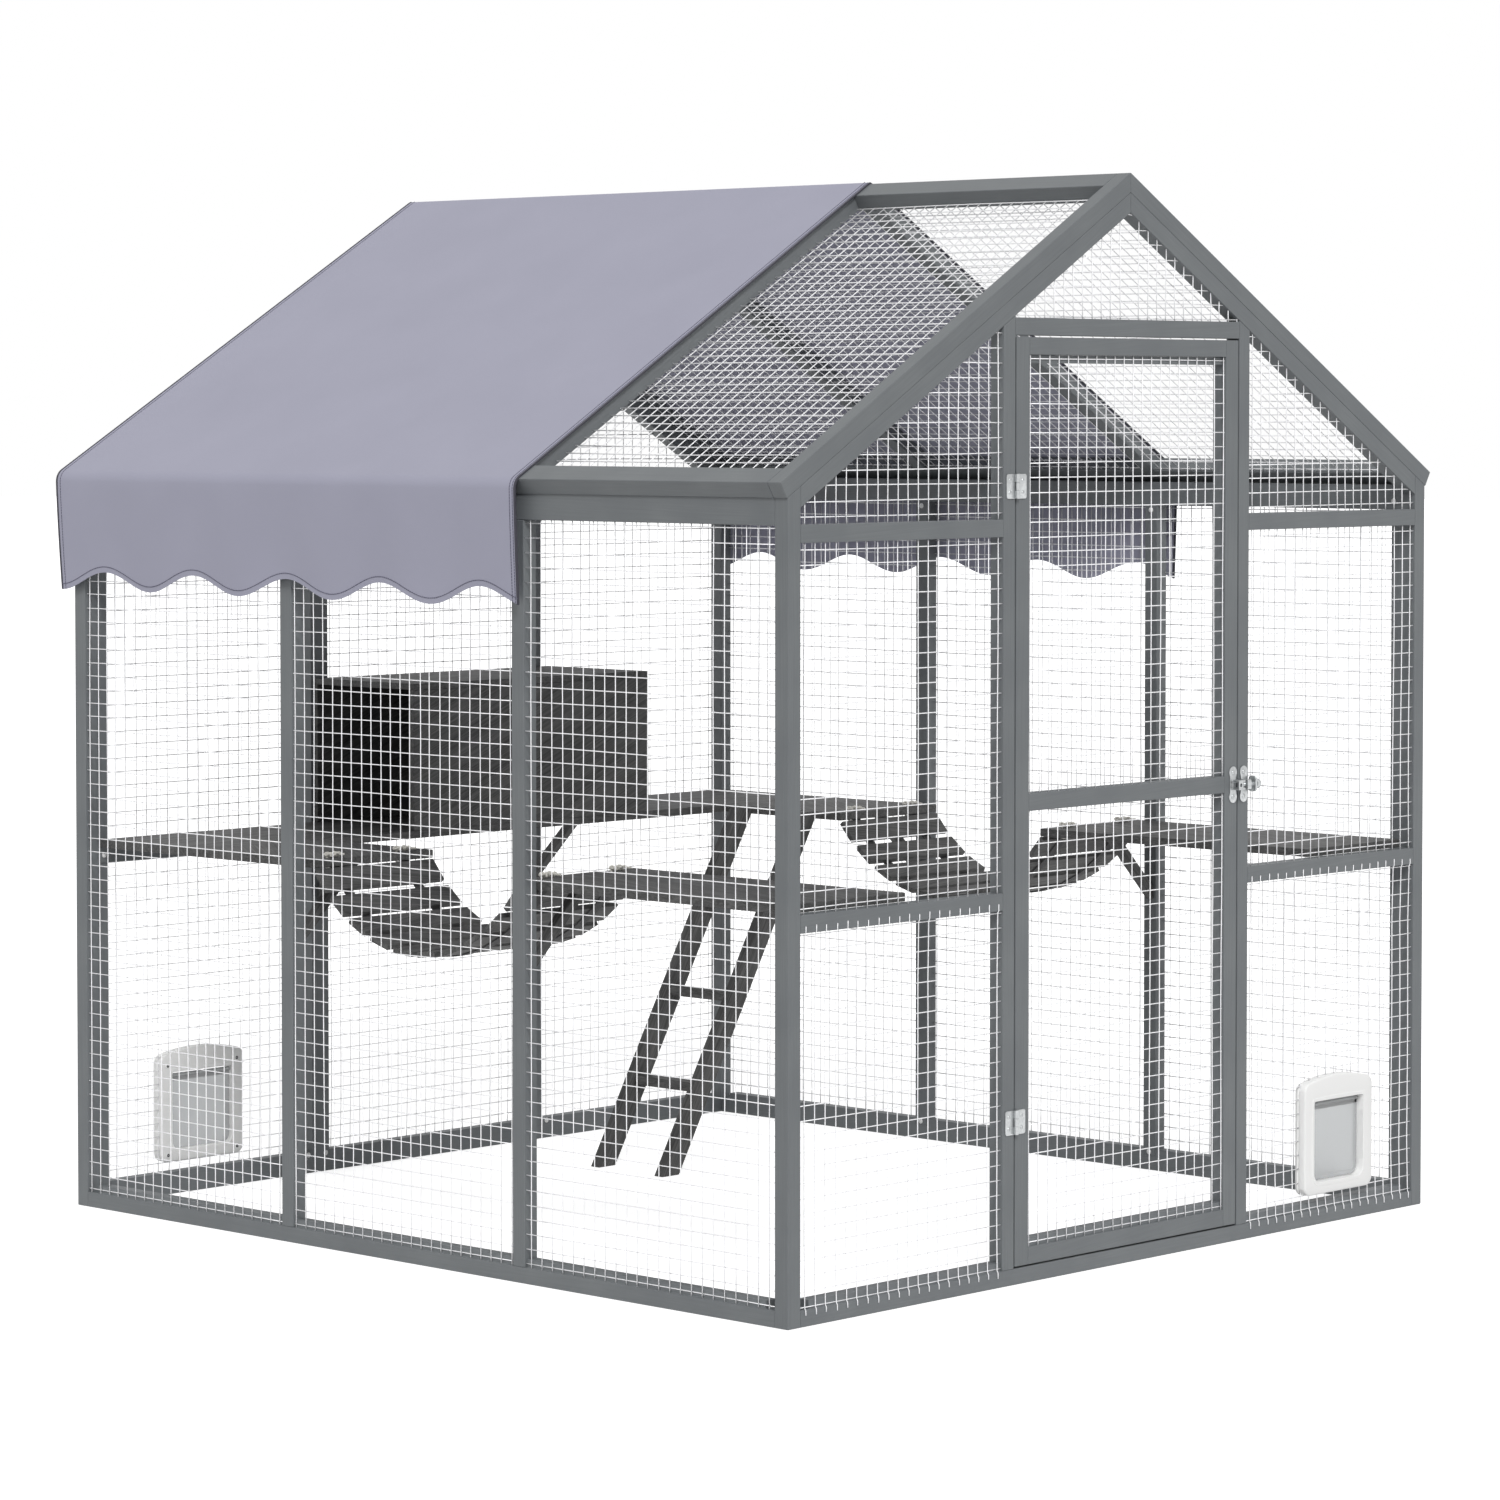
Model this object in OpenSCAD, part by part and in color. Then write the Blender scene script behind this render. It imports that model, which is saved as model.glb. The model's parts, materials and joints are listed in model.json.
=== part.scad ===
// Walk-in outdoor pet enclosure, millimetres, +Z up.
// The gable with the door faces -Y, X runs across the gables, the origin is at the middle of the base.

/* [Frame] */
// Width across the gable walls
frame_w = 1750; // [1700:5:1900]
// Length along the side walls
frame_l = 1830; // [1780:5:1980]
// Height of the ridge
ridge_h = 1910; // [1860:5:2000]
// Slope of the roof in degrees
roof_pitch = 30.7; // [29:0.1:32]
// Seen width of a wall batten
batten_w = 30; // [26:1:34]
// Thickness of a wall batten
batten_t = 30; // [28:1:32]
// Width of the two posts inside the rear wall
rear_post_w = 44; // [36:1:50]
// Distance of the rear posts from the middle
rear_post_x = 292; // [260:1:320]
// Height of the bottom rails, seen from outside
bottom_rail_h = 28; // [24:1:30]
// How far the inner part of a bottom rail stands up behind the mesh
rail_rise = 14; // [10:1:16]
// Distance of that inner part from the corner posts
rise_end_gap = 25; // [10:1:30]
// Height of the rail under each eave
eave_beam_h = 46; // [38:1:52]
// Underside of the middle rails in the gable walls
mid_rail_z = 645; // [640:1:645]
// Distance of the upper rails in the gable walls under the eaves
upper_rail_drop = 74.6; // [70:0.1:100]
// Clear width of the bay next to the door gable
front_bay = 587; // [570:1:600]
// Clear width of the middle bay
middle_bay = 570; // [550:1:590]

/* [Roof] */
// Thickness of a roof panel
roof_t = 30; // [26:1:34]
// Length of a roof panel down the slope
roof_slope_l = 1038.5; // [1035:0.5:1045]
// Width of the roof rails at ridge and eave
roof_rail_w = 45; // [40:1:50]
// Width of a roof rafter
rafter_w = 30; // [26:1:34]

/* [Mesh] */
// Cell of the welded mesh
mesh_cell = 25.4; // [24:0.1:27]
// Cells from one modelled wire to the next
wire_step = 5; // [4:1:8]
// Thickness of a wire
wire_d = 2; // [1.6:0.1:2.4]
// Depth of the mesh behind the outer face
mesh_inset = 3; // [2:0.5:5]

/* [Door] */
// Distance from the middle to each door post
door_post_x = 309; // [300:1:315]
// Distance of the header over the door under the ridge
header_drop = 286; // [284:1:300]
// Gap around the door leaf
door_gap = 3; // [2:0.5:4]
// Width of the door stiles
stile_w = 35; // [32:1:38]
// Height of the top and bottom rails of the door
door_rail_h = 30; // [28:1:34]
// Underside of the middle rail of the door
door_mid_z = 811; // [780:1:840]
// Height of the lower hinge from the ground to its middle
hinge_low_z = 280; // [260:1:300]
// Distance of the upper hinge under the header
hinge_head = 257; // [240:1:280]
// Height of a hinge
hinge_h = 42; // [38:1:48]
// Width of one hinge leaf
hinge_leaf_w = 26; // [22:1:28]
// Thickness of a hinge leaf
hinge_leaf_t = 2; // [1.5:0.5:2]
// Diameter of the hinge pin
hinge_pin_d = 4; // [3:0.5:5]

/* [Latch] */
// Height of the latch to its middle
latch_z = 825; // [815:1:835]
// Diameter of the sliding bolt
bolt_d = 8; // [7:0.5:9]
// Travel of the bolt
bolt_travel = 12; // [10:1:12]
// Width of the two latch plates
latch_plate_w = 22; // [20:1:24]
// Height of the two latch plates
latch_plate_h = 66; // [60:1:72]

/* [Pet flaps] */
// Place of the front flap along the front wall
front_flap_x = 601; // [590:1:610]
// Place of the rear flap along the rear wall
rear_flap_x = -579; // [-590:1:-570]
// Width of the window in a pet flap frame
flap_window_w = 150; // [140:1:156]
// Height of the window
flap_window_h = 150; // [140:1:156]
// Underside of the window
flap_window_z = 80; // [78:1:86]
// Width of a flap frame
flap_frame_w = 206; // [200:1:212]
// Height of the flap frame above the window
flap_head_h = 45; // [40:1:50]
// Height of the flap frame below the window
flap_sill_h = 22; // [18:1:28]
// Thickness of the outer half of the flap frame
flap_frame_t = 15; // [12:1:16]
// Thickness of the inner half of the flap frame
flap_back_t = 8; // [7:1:10]
// Thickness of the clear flap
flap_t = 3; // [2:0.5:4]
// Diameter of the flap pin
flap_pin_d = 4; // [3:0.5:4]

/* [Walkway] */
// Width of the shelves
shelf_w = 290; // [286:1:300]
// Thickness of the shelves
shelf_t = 15; // [12:1:18]
// How far the rear side shelves run past the side posts
rear_shelf_reach = 27; // [26:1:30]
// How far the front side shelves run past the side posts
front_shelf_reach = 23; // [22:1:26]
// Length of a bridge slat
slat_l = 286; // [260:1:288]
// Width of a bridge slat
slat_w = 47.5; // [44:0.5:50]
// Thickness of a bridge slat
slat_t = 10; // [8:1:11]
// Number of slats in a bridge
slat_count = 10; // [10:1:10]
// Radius of the curve in which a bridge hangs
bridge_r = 330; // [325:1:330]
// Angle from one slat to the next
slat_angle = 10.94; // [10.7:0.01:10.95]
// Lowest underside of a bridge
bridge_low_z = 535; // [530:1:536]
// Width of a bridge strap
strap_w = 23; // [18:1:28]
// Thickness of a bridge strap
strap_t = 2.5; // [2:0.5:3]
// Distance of the straps from the middle of the bridge
strap_x = 85; // [70:1:100]
// Diameter of the tie ropes
rope_d = 4.4; // [4:0.2:5]
// Width of a brace under a shelf
brace_w = 18; // [15:1:22]
// Reach of a brace along wall and shelf
brace_reach = 140; // [120:1:150]

/* [Sleeping box] */
// Width of the sleeping box
box_w = 640; // [600:5:680]
// How far the middle of the sleeping box is to the right
box_shift = 12; // [0:1:20]
// Height of the sleeping box
box_h = 282; // [260:1:300]
// Thickness of its boards
box_t = 12; // [10:1:15]
// Width of its doorways
box_door_w = 180; // [160:1:200]
// Height of its doorways
box_door_h = 210; // [190:1:220]

/* [Ladder] */
// Distance of the ladder foot from the middle
ladder_foot_x = 163; // [140:1:175]
// Distance of the ladder from the end of the rear side shelf
ladder_in = 170; // [150:1:180]
// Outer width of the ladder
ladder_w = 200; // [185:1:215]
// Depth of a ladder rail
ladder_rail_w = 40; // [36:1:44]
// Thickness of a ladder rail
ladder_rail_t = 24; // [20:1:28]
// Height of the first rung
rung_z = 164; // [150:1:180]
// Spacing of the rungs
rung_step = 170; // [160:1:175]
// Number of rungs
rung_count = 3; // [2:1:3]
// Depth of a rung
rung_w = 34; // [28:1:36]
// Thickness of a rung
rung_t = 18; // [16:1:20]

/* [Canopy] */
// How far the canopy laps past the rafter at its front edge
canopy_lap = 6; // [2:1:12]
// How far the canopy reaches past the rear gable
canopy_over = 21; // [5:1:30]
// Thickness of the cloth
canopy_t = 2; // [1.5:0.5:3]
// Drop of the side cloth from the eave to the scallop tips
canopy_drop = 219; // [200:1:240]
// Distance of the hanging cloth outside the eave
canopy_stand_off = 11; // [8:1:16]
// Number of scallops
scallop_count = 5; // [4:1:6]
// Height of a scallop
scallop_h = 34; // [24:1:40]
// Bending radius of the cloth at the eave
canopy_bend_r = 22; // [16:1:26]

/* [Fasteners] */
// Diameter of a screw cap
cap_d = 9; // [8:1:12]
// Height of a screw cap
cap_h = 3; // [2:0.5:4]
// Diameter of a screw head on hinges, latch and flap frames
screw_d = 7; // [6:0.5:8]

/* [Hidden] */

$fn = 32;
// Lateral faces of the frame
half_w = frame_w / 2;
half_l = frame_l / 2;
inner_x = half_w - batten_t;
inner_y = half_l - batten_t;
post_x = half_w - batten_w;
post_y = half_l - batten_w;

// Heights under the sloping roof at a distance x from the middle
function roof_top(x) = ridge_h - tan(roof_pitch) * abs(x);
function roof_under(x) = roof_top(x) - roof_t / cos(roof_pitch);
function gable_under(x) = roof_under(x) - batten_w / cos(roof_pitch);
eave_z = roof_under(half_w);
beam_z = eave_z - eave_beam_h;

// Places of the side wall posts and roof rafters along Y
side_post_1 = -post_y + front_bay;
side_post_2 = side_post_1 + batten_w + middle_bay;
wire_pitch = mesh_cell * wire_step;

upper_rail_z = eave_z - upper_rail_drop;
header_z = ridge_h - header_drop;
hinge_high_z = header_z - hinge_head;
rear_shelf_end_y = side_post_2 - rear_shelf_reach;
front_shelf_end_y = side_post_1 + batten_w + front_shelf_reach;
ladder_y = rear_shelf_end_y + ladder_in;
canopy_front_y = side_post_1 - canopy_lap;
canopy_l = half_l + canopy_over - canopy_front_y;

shelf_z = mid_rail_z + batten_w;
shelf_top = shelf_z + shelf_t;
shelf_x = inner_x - shelf_w;
shelf_y = inner_y - shelf_w;
fit = 0.3;
run_fit = 0.05;

gray = "#7b7f82";
dark = "#3f4042";
wire_gray = "#e6e8e8";
steel = "#c9cbcd";

// A bar between two corners
module bar(a, b) {
    translate(a) cube(b - a);
}

// The same children on both sides of the middle plane
module both_sides() {
    children();
    mirror([1, 0, 0]) children();
}

// An outline drawn in X and Z, given thickness from y0 to y1
module upright(y0, y1) {
    translate([0, y1, 0]) rotate([90, 0, 0]) linear_extrude(y1 - y0) children();
}

// An outline drawn in Y and Z, given thickness from x0 to x1
module sideways(x0, x1) {
    translate([x0, 0, 0]) rotate([90, 0, 90]) linear_extrude(x1 - x0) children();
}

// Crossing wires over the box from a to b, kept inside the children's outline
module wires(a, b) {
    middle = (a + b) / 2;
    columns = floor((b[0] - a[0]) / 2 / wire_pitch);
    rows = floor((b[1] - a[1]) / 2 / wire_pitch);
    intersection() {
        children();
        union() {
            for (i = [-columns : columns])
                translate([middle[0] + i * wire_pitch - wire_d / 2, a[1]]) square([wire_d, b[1] - a[1]]);
            for (j = [-rows : rows])
                translate([a[0], middle[1] + j * wire_pitch - wire_d / 2]) square([b[0] - a[0], wire_d]);
        }
    }
}

// A rectangular bay of mesh
module bay(a, b) {
    wires(a, b) translate(a) square(b - a);
}

// Section of a bottom rail's inner part, as depth behind the outer face and height
rise_in = mesh_inset + wire_d;
rise_top = bottom_rail_h + rail_rise;

// Posts of one long wall
module side_posts() {
    for (y = [side_post_1, side_post_2])
        bar([inner_x, y, bottom_rail_h], [half_w, y + batten_w, beam_z]);
}

// Bottom rail and eave beam of one long wall
module side_rails() {
    starts = [-post_y + rise_end_gap, side_post_1 + batten_w, side_post_2 + batten_w];
    ends = [side_post_1, side_post_2, post_y - rise_end_gap];
    bar([inner_x, -post_y, 0], [half_w, post_y, bottom_rail_h]);
    for (i = [0 : 2])
        bar([inner_x, starts[i], bottom_rail_h - 1], [half_w - rise_in, ends[i], rise_top]);
    bar([inner_x, -post_y, beam_z], [half_w, post_y, eave_z]);
}

// Three bays of mesh in one long wall
module side_mesh() {
    starts = [-post_y, side_post_1 + batten_w, side_post_2 + batten_w];
    ends = [side_post_1, side_post_2, post_y];
    sideways(half_w - mesh_inset - wire_d, half_w - mesh_inset)
        for (i = [0 : 2]) bay([starts[i], bottom_rail_h], [ends[i], beam_z]);
}

module corner_posts() {
    color(gray) both_sides()
        for (y = [-half_l, post_y])
            upright(y, y + batten_w)
                polygon([[post_x, 0], [half_w, 0], [half_w, roof_under(half_w)],
                    [post_x, roof_under(post_x)]]);
}

module left_wall_posts() {
    color(gray) mirror([1, 0, 0]) side_posts();
}

module left_wall_rails() {
    color(gray) mirror([1, 0, 0]) side_rails();
}

module right_wall_posts() {
    color(gray) side_posts();
}

module right_wall_rails() {
    color(gray) side_rails();
}

module left_wall_mesh() {
    color(wire_gray) mirror([1, 0, 0]) side_mesh();
}

module right_wall_mesh() {
    color(wire_gray) side_mesh();
}

// Sloping batten on the top of a gable wall, one side, up to the joint at the peak
module gable_batten_outline() {
    joint = 0.1;
    polygon([[joint, roof_under(joint)], [post_x, roof_under(post_x)],
        [post_x, gable_under(post_x)], [joint, gable_under(joint)]]);
}

// Upright post of a gable wall from the bottom rail to the sloping batten
module gable_post_outline(x0, x1) {
    polygon([[x0, bottom_rail_h], [x1, bottom_rail_h], [x1, gable_under(x1)], [x0, gable_under(x0)]]);
}

module front_door_posts() {
    color(gray) both_sides() upright(-half_l, -inner_y)
        gable_post_outline(door_post_x, door_post_x + batten_w);
}

module front_wall_rails() {
    outer = door_post_x + batten_w;
    color(gray) {
        bar([-post_x, -half_l, 0], [post_x, -inner_y, bottom_rail_h]);
        both_sides() bar([outer, -half_l + rise_in, bottom_rail_h - 1],
            [post_x - rise_end_gap, -inner_y, rise_top]);
        bar([-door_post_x, -half_l, header_z], [door_post_x, -inner_y, header_z + batten_w]);
        both_sides() for (z = [mid_rail_z, upper_rail_z])
            bar([outer, -half_l, z], [post_x, -inner_y, z + batten_w]);
    }
}

module front_gable_battens() {
    color(gray) both_sides() upright(-half_l, -inner_y) gable_batten_outline();
}

module rear_wall_posts() {
    color(gray) both_sides() upright(inner_y, half_l)
        gable_post_outline(rear_post_x - rear_post_w / 2, rear_post_x + rear_post_w / 2);
}

module rear_wall_rails() {
    inside = rear_post_x - rear_post_w / 2;
    outside = rear_post_x + rear_post_w / 2;
    color(gray) {
        bar([-post_x, inner_y, 0], [post_x, half_l, bottom_rail_h]);
        bar([-inside, inner_y, bottom_rail_h - 1], [inside, half_l - rise_in, rise_top]);
        both_sides() bar([outside, inner_y, bottom_rail_h - 1],
            [post_x - rise_end_gap, half_l - rise_in, rise_top]);
        for (z = [mid_rail_z, upper_rail_z]) {
            bar([-inside, inner_y, z], [inside, half_l, z + batten_w]);
            both_sides() bar([outside, inner_y, z], [post_x, half_l, z + batten_w]);
        }
    }
}

module rear_gable_battens() {
    color(gray) both_sides() upright(inner_y, half_l) gable_batten_outline();
}

// Mesh above a rail at height z, from x0 to x1, up to the sloping batten
module gable_top_bay(x0, x1, z) {
    wires([x0, z], [x1, gable_under(x0)])
        polygon([[x0, z], [x1, z], [x1, gable_under(x1)], [x0, gable_under(x0)]]);
}

// Outline of a flap frame's tunnel, centred on x
module flap_tunnel_outline(x, wall) {
    translate([x - flap_window_w / 2 - wall, flap_window_z - wall])
        square([flap_window_w + 2 * wall, flap_window_h + 2 * wall]);
}

// The upright strip of a bay that holds a flap's tunnel, centred on x
module flap_strip_outline(x) {
    w = flap_window_w + 2 * (flap_wall + fit);
    translate([x - w / 2, 0]) square([w, mid_rail_z]);
}

// Mesh above and below a flap's tunnel, in the bay from a to b
module flap_strip_mesh(x, a, b) {
    difference() {
        intersection() {
            bay(a, b);
            flap_strip_outline(x);
        }
        flap_tunnel_outline(x, flap_wall + fit);
    }
}

module front_wall_mesh() {
    outer = door_post_x + batten_w;
    mid_top = mid_rail_z + batten_w;
    upper_top = upper_rail_z + batten_w;
    head_top = header_z + batten_w;
    color(wire_gray) upright(-half_l + mesh_inset, -half_l + mesh_inset + wire_d) {
        difference() {
            both_sides() bay([outer, bottom_rail_h], [post_x, mid_rail_z]);
            flap_strip_outline(front_flap_x);
        }
        both_sides() bay([outer, mid_top], [post_x, upper_rail_z]);
        both_sides() gable_top_bay(outer, post_x, upper_top);
        wires([-door_post_x, head_top], [door_post_x, gable_under(0)])
            polygon([[-apex_x, head_top], [apex_x, head_top], [0, gable_under(0)]]);
    }
}

module rear_wall_mesh() {
    inside = rear_post_x - rear_post_w / 2;
    outside = rear_post_x + rear_post_w / 2;
    mid_top = mid_rail_z + batten_w;
    upper_top = upper_rail_z + batten_w;
    color(wire_gray) upright(half_l - mesh_inset - wire_d, half_l - mesh_inset) {
        difference() {
            both_sides() bay([outside, bottom_rail_h], [post_x, mid_rail_z]);
            flap_strip_outline(rear_flap_x);
        }
        bay([-inside, bottom_rail_h], [inside, mid_rail_z]);
        both_sides() bay([outside, mid_top], [post_x, upper_rail_z]);
        bay([-inside, mid_top], [inside, upper_rail_z]);
        both_sides() gable_top_bay(outside, post_x, upper_top);
        wires([-inside, upper_top], [inside, gable_under(0)])
            polygon([[-inside, upper_top], [inside, upper_top], [inside, gable_under(inside)],
                [0, gable_under(0)], [-inside, gable_under(inside)]]);
    }
}

module front_flap_mesh() {
    outer = door_post_x + batten_w;
    color(wire_gray) upright(-half_l + mesh_inset, -half_l + mesh_inset + wire_d)
        flap_strip_mesh(front_flap_x, [outer, bottom_rail_h], [post_x, mid_rail_z]);
}

module rear_flap_mesh() {
    outside = rear_post_x + rear_post_w / 2;
    color(wire_gray) upright(half_l - mesh_inset - wire_d, half_l - mesh_inset)
        flap_strip_mesh(rear_flap_x, [-post_x, bottom_rail_h], [-outside, mid_rail_z]);
}

// Half width of the opening over the header
apex_x = min(door_post_x, (gable_under(0) - header_z - batten_w) / tan(roof_pitch));

// A point on a roof panel: distance down the slope, depth below its outer face
function on_slope(u, d) = [
    u * cos(roof_pitch) - d * sin(roof_pitch),
    ridge_h - u * sin(roof_pitch) - d * cos(roof_pitch)
];

// Section of a roof member from u0 to u1 down the slope, cut upright at the ridge
module slope_outline(u0, u1, d0 = 0, d1 = roof_t) {
    top = u0 > 0 ? on_slope(u0, d0) : [0, ridge_h];
    under = u0 > 0 ? on_slope(u0, d1) : [0, ridge_h - d1 / cos(roof_pitch)];
    polygon([top, on_slope(u1, d0), on_slope(u1, d1), under]);
}

rafter_starts = [side_post_1, side_post_2];
bay_starts = [-half_l + rafter_w, side_post_1 + rafter_w, side_post_2 + rafter_w];
bay_ends = [side_post_1, side_post_2, half_l - rafter_w];

// The four rafters of one roof panel
module rafters() {
    for (y = [-half_l, half_l - rafter_w])
        upright(y, y + rafter_w) slope_outline(0, roof_slope_l);
    for (y = rafter_starts)
        upright(y, y + rafter_w) slope_outline(roof_rail_w, roof_slope_l - roof_rail_w);
}

// Ridge rail and eave rail of one roof panel
module roof_rails() {
    upright(-half_l + rafter_w, half_l - rafter_w) {
        slope_outline(0, roof_rail_w);
        slope_outline(roof_slope_l - roof_rail_w, roof_slope_l);
    }
}

// Three bays of mesh in one roof panel, near its outer face
module roof_mesh() {
    place = on_slope(0, mesh_inset + wire_d);
    translate([place[0], 0, place[1]])
        rotate([0, roof_pitch, 0])
        linear_extrude(wire_d)
        for (i = [0 : 2])
            bay([roof_rail_w, bay_starts[i]], [roof_slope_l - roof_rail_w, bay_ends[i]]);
}

module left_roof_rafters() {
    color(gray) mirror([1, 0, 0]) rafters();
}

module left_roof_rails() {
    color(gray) mirror([1, 0, 0]) roof_rails();
}

module left_roof_mesh() {
    color(wire_gray) mirror([1, 0, 0]) roof_mesh();
}

module right_roof_rafters() {
    color(gray) rafters();
}

module right_roof_rails() {
    color(gray) roof_rails();
}

module right_roof_mesh() {
    color(wire_gray) roof_mesh();
}

// Room for the corner posts, cut out of the shelf boards
module corner_notches() {
    both_sides() for (y = [-half_l, post_y])
        bar([post_x, y, shelf_z - 1], [half_w, y + batten_w, shelf_top + 1]);
}

// Shelf boards of the walkway
module rear_shelf() {
    color(dark) difference() {
        bar([-inner_x, shelf_y, shelf_z], [inner_x, inner_y, shelf_top]);
        corner_notches();
    }
}

// A side shelf with the holes for its tie ropes near one end
module side_shelf(y0, y1, tie_y) {
    difference() {
        bar([shelf_x, y0, shelf_z], [inner_x, y1, shelf_top]);
        corner_notches();
        for (s = [-strap_x, strap_x], e = [-tie_half, tie_half])
            translate([bridge_x + s + e, tie_y, shelf_z - 1]) cylinder(h = shelf_t + 2, d = rope_d * 1.5);
    }
}
// Half spacing of the two legs of a tie rope, and its distance from the shelf end
tie_half = strap_w / 2 + rope_d / 2 + 1.5;
tie_in = 18;

module left_rear_shelf() {
    color(dark) mirror([1, 0, 0]) side_shelf(rear_shelf_end_y, shelf_y, rear_shelf_end_y + tie_in);
}

module right_rear_shelf() {
    color(dark) side_shelf(rear_shelf_end_y, shelf_y, rear_shelf_end_y + tie_in);
}

module left_front_shelf() {
    color(dark) mirror([1, 0, 0]) side_shelf(-inner_y, front_shelf_end_y, front_shelf_end_y - tie_in);
}

module right_front_shelf() {
    color(dark) side_shelf(-inner_y, front_shelf_end_y, front_shelf_end_y - tie_in);
}

// A sloping strut from the wall to the underside of a shelf
module brace_outline() {
    side = brace_w * sqrt(2);
    polygon([[inner_x, shelf_z - brace_reach], [inner_x, shelf_z - brace_reach + side],
        [inner_x - brace_reach + side, shelf_z], [inner_x - brace_reach, shelf_z]]);
}

// Braces under the side shelves, on the wall posts
module side_braces() {
    for (y = [side_post_1, side_post_2])
        upright(y + (batten_w - brace_w) / 2, y + (batten_w + brace_w) / 2) brace_outline();
}

module left_shelf_braces() {
    color(dark) mirror([1, 0, 0]) side_braces();
}

module right_shelf_braces() {
    color(dark) side_braces();
}

module rear_shelf_braces() {
    color(dark) both_sides()
        translate([rear_post_x - brace_w / 2, inner_y - inner_x, 0])
        sideways(0, brace_w) brace_outline();
}

// Middle of a bridge along Y, and the middle of its hanging curve
bridge_y = (rear_shelf_end_y + front_shelf_end_y) / 2;
bridge_z = bridge_low_z + bridge_r;
bridge_x = (shelf_x + inner_x) / 2;

function slat_turn(i) = (i - (slat_count - 1) / 2) * slat_angle;
// A point fixed to slat i: along its width and above its underside
function slat_point(i, w, h) = [
    bridge_y + (bridge_r - h) * sin(slat_turn(i)) + w * cos(slat_turn(i)),
    bridge_z - (bridge_r - h) * cos(slat_turn(i)) + w * sin(slat_turn(i))
];

// The slats of one bridge
module slats() {
    sideways(bridge_x - slat_l / 2, bridge_x + slat_l / 2)
        for (i = [0 : slat_count - 1])
            polygon([slat_point(i, -slat_w / 2, 0), slat_point(i, slat_w / 2, 0),
                slat_point(i, slat_w / 2, slat_t), slat_point(i, -slat_w / 2, slat_t)]);
}

module left_bridge_slats() {
    color(dark) mirror([1, 0, 0]) slats();
}

module right_bridge_slats() {
    color(dark) slats();
}

// A strap follows the undersides of the slats and lies under both shelf ends, from y1 inwards
strap_turn = 12.5;
strap_end = 2 * tie_in;
function strap_side(d) =
    let (z = shelf_z - d)
    concat(
        [[front_shelf_end_y - strap_end, z], [front_shelf_end_y - strap_turn - d / 2, z]],
        [for (i = [0 : slat_count - 1], w = [-slat_w / 2, slat_w / 2]) slat_point(i, w, -d)],
        [[rear_shelf_end_y + strap_turn + d / 2, z], [rear_shelf_end_y + strap_end, z]]);
strap_upper = strap_side(0);
strap_lower = strap_side(strap_t);

module bridge_straps() {
    count = len(strap_lower);
    color(dark) both_sides() for (s = [-strap_x, strap_x])
        sideways(bridge_x + s - strap_w / 2, bridge_x + s + strap_w / 2)
            polygon(concat(strap_upper, [for (i = [1 : count]) strap_lower[count - i]]));
}

// A closed tie through two holes of a shelf and round its strap, centred on x and y
module tie(x, y) {
    low = shelf_z - strap_t - fit / 2;
    high = shelf_top + fit / 2;
    side = tie_half - rope_d / 2;
    translate([x, 0, 0]) upright(y - rope_d / 2, y + rope_d / 2) difference() {
        translate([-side - rope_d, low - rope_d]) square([2 * side + 2 * rope_d, high - low + 2 * rope_d]);
        translate([-side, low]) square([2 * side, high - low]);
    }
}

module bridge_ties() {
    color("white") both_sides()
        for (s = [-strap_x, strap_x], y = [rear_shelf_end_y + tie_in, front_shelf_end_y - tie_in])
            tie(bridge_x + s, y);
}

// Sleeping box on the rear shelf: two walls, a lid board, an open left end and a right end with a doorway
box_y0 = shelf_y;
box_y1 = inner_y;
box_left = box_shift - box_w / 2;
box_right = box_shift + box_w / 2;
box_top = shelf_top + box_h;

module box_roof() {
    color(dark) bar([box_left, box_y0, box_top - box_t], [box_right, box_y1, box_top]);
}

module box_front() {
    color(dark) bar([box_left, box_y0, shelf_top], [box_right, box_y0 + box_t, box_top - box_t]);
}

module box_back() {
    color(dark) bar([box_left, box_y1 - box_t, shelf_top], [box_right, box_y1, box_top - box_t]);
}

module box_right_end() {
    middle = (box_y0 + box_y1) / 2;
    color(dark) sideways(box_right - box_t, box_right) difference() {
        translate([box_y0 + box_t, shelf_top])
            square([box_y1 - box_y0 - 2 * box_t, box_h - box_t]);
        translate([middle - box_door_w / 2, shelf_top - 1])
            square([box_door_w, box_door_h - box_door_w / 2 + 1]);
        translate([middle, shelf_top + box_door_h - box_door_w / 2]) circle(d = box_door_w);
    }
}

// The ladder leans with its lower side on the edge of the right rear shelf
ladder_run = shelf_x - ladder_foot_x;
ladder_angle = atan(shelf_z / ladder_run);
function ladder_x(z) = shelf_x + (z - shelf_z) / tan(ladder_angle);
rail_reach = ladder_rail_w / sin(ladder_angle);

module ladder_rails() {
    y = ladder_w / 2 - ladder_rail_t;
    color(dark) for (side = [ladder_y - ladder_w / 2, ladder_y + y])
        upright(side, side + ladder_rail_t)
            polygon([[ladder_x(0), 0], [shelf_x, shelf_z], [shelf_x, shelf_top],
                [min(shelf_x, ladder_x(shelf_top) - rail_reach), shelf_top], [ladder_x(0) - rail_reach, 0]]);
}

module ladder_rungs() {
    inner = ladder_w / 2 - ladder_rail_t;
    color(dark) for (i = [0 : rung_count - 1])
        translate([ladder_x(rung_z + i * rung_step) - rail_reach / 2, ladder_y, rung_z + i * rung_step])
            translate([-rung_w / 2, -inner, -rung_t / 2]) cube([rung_w, 2 * inner, rung_t]);
}

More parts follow.
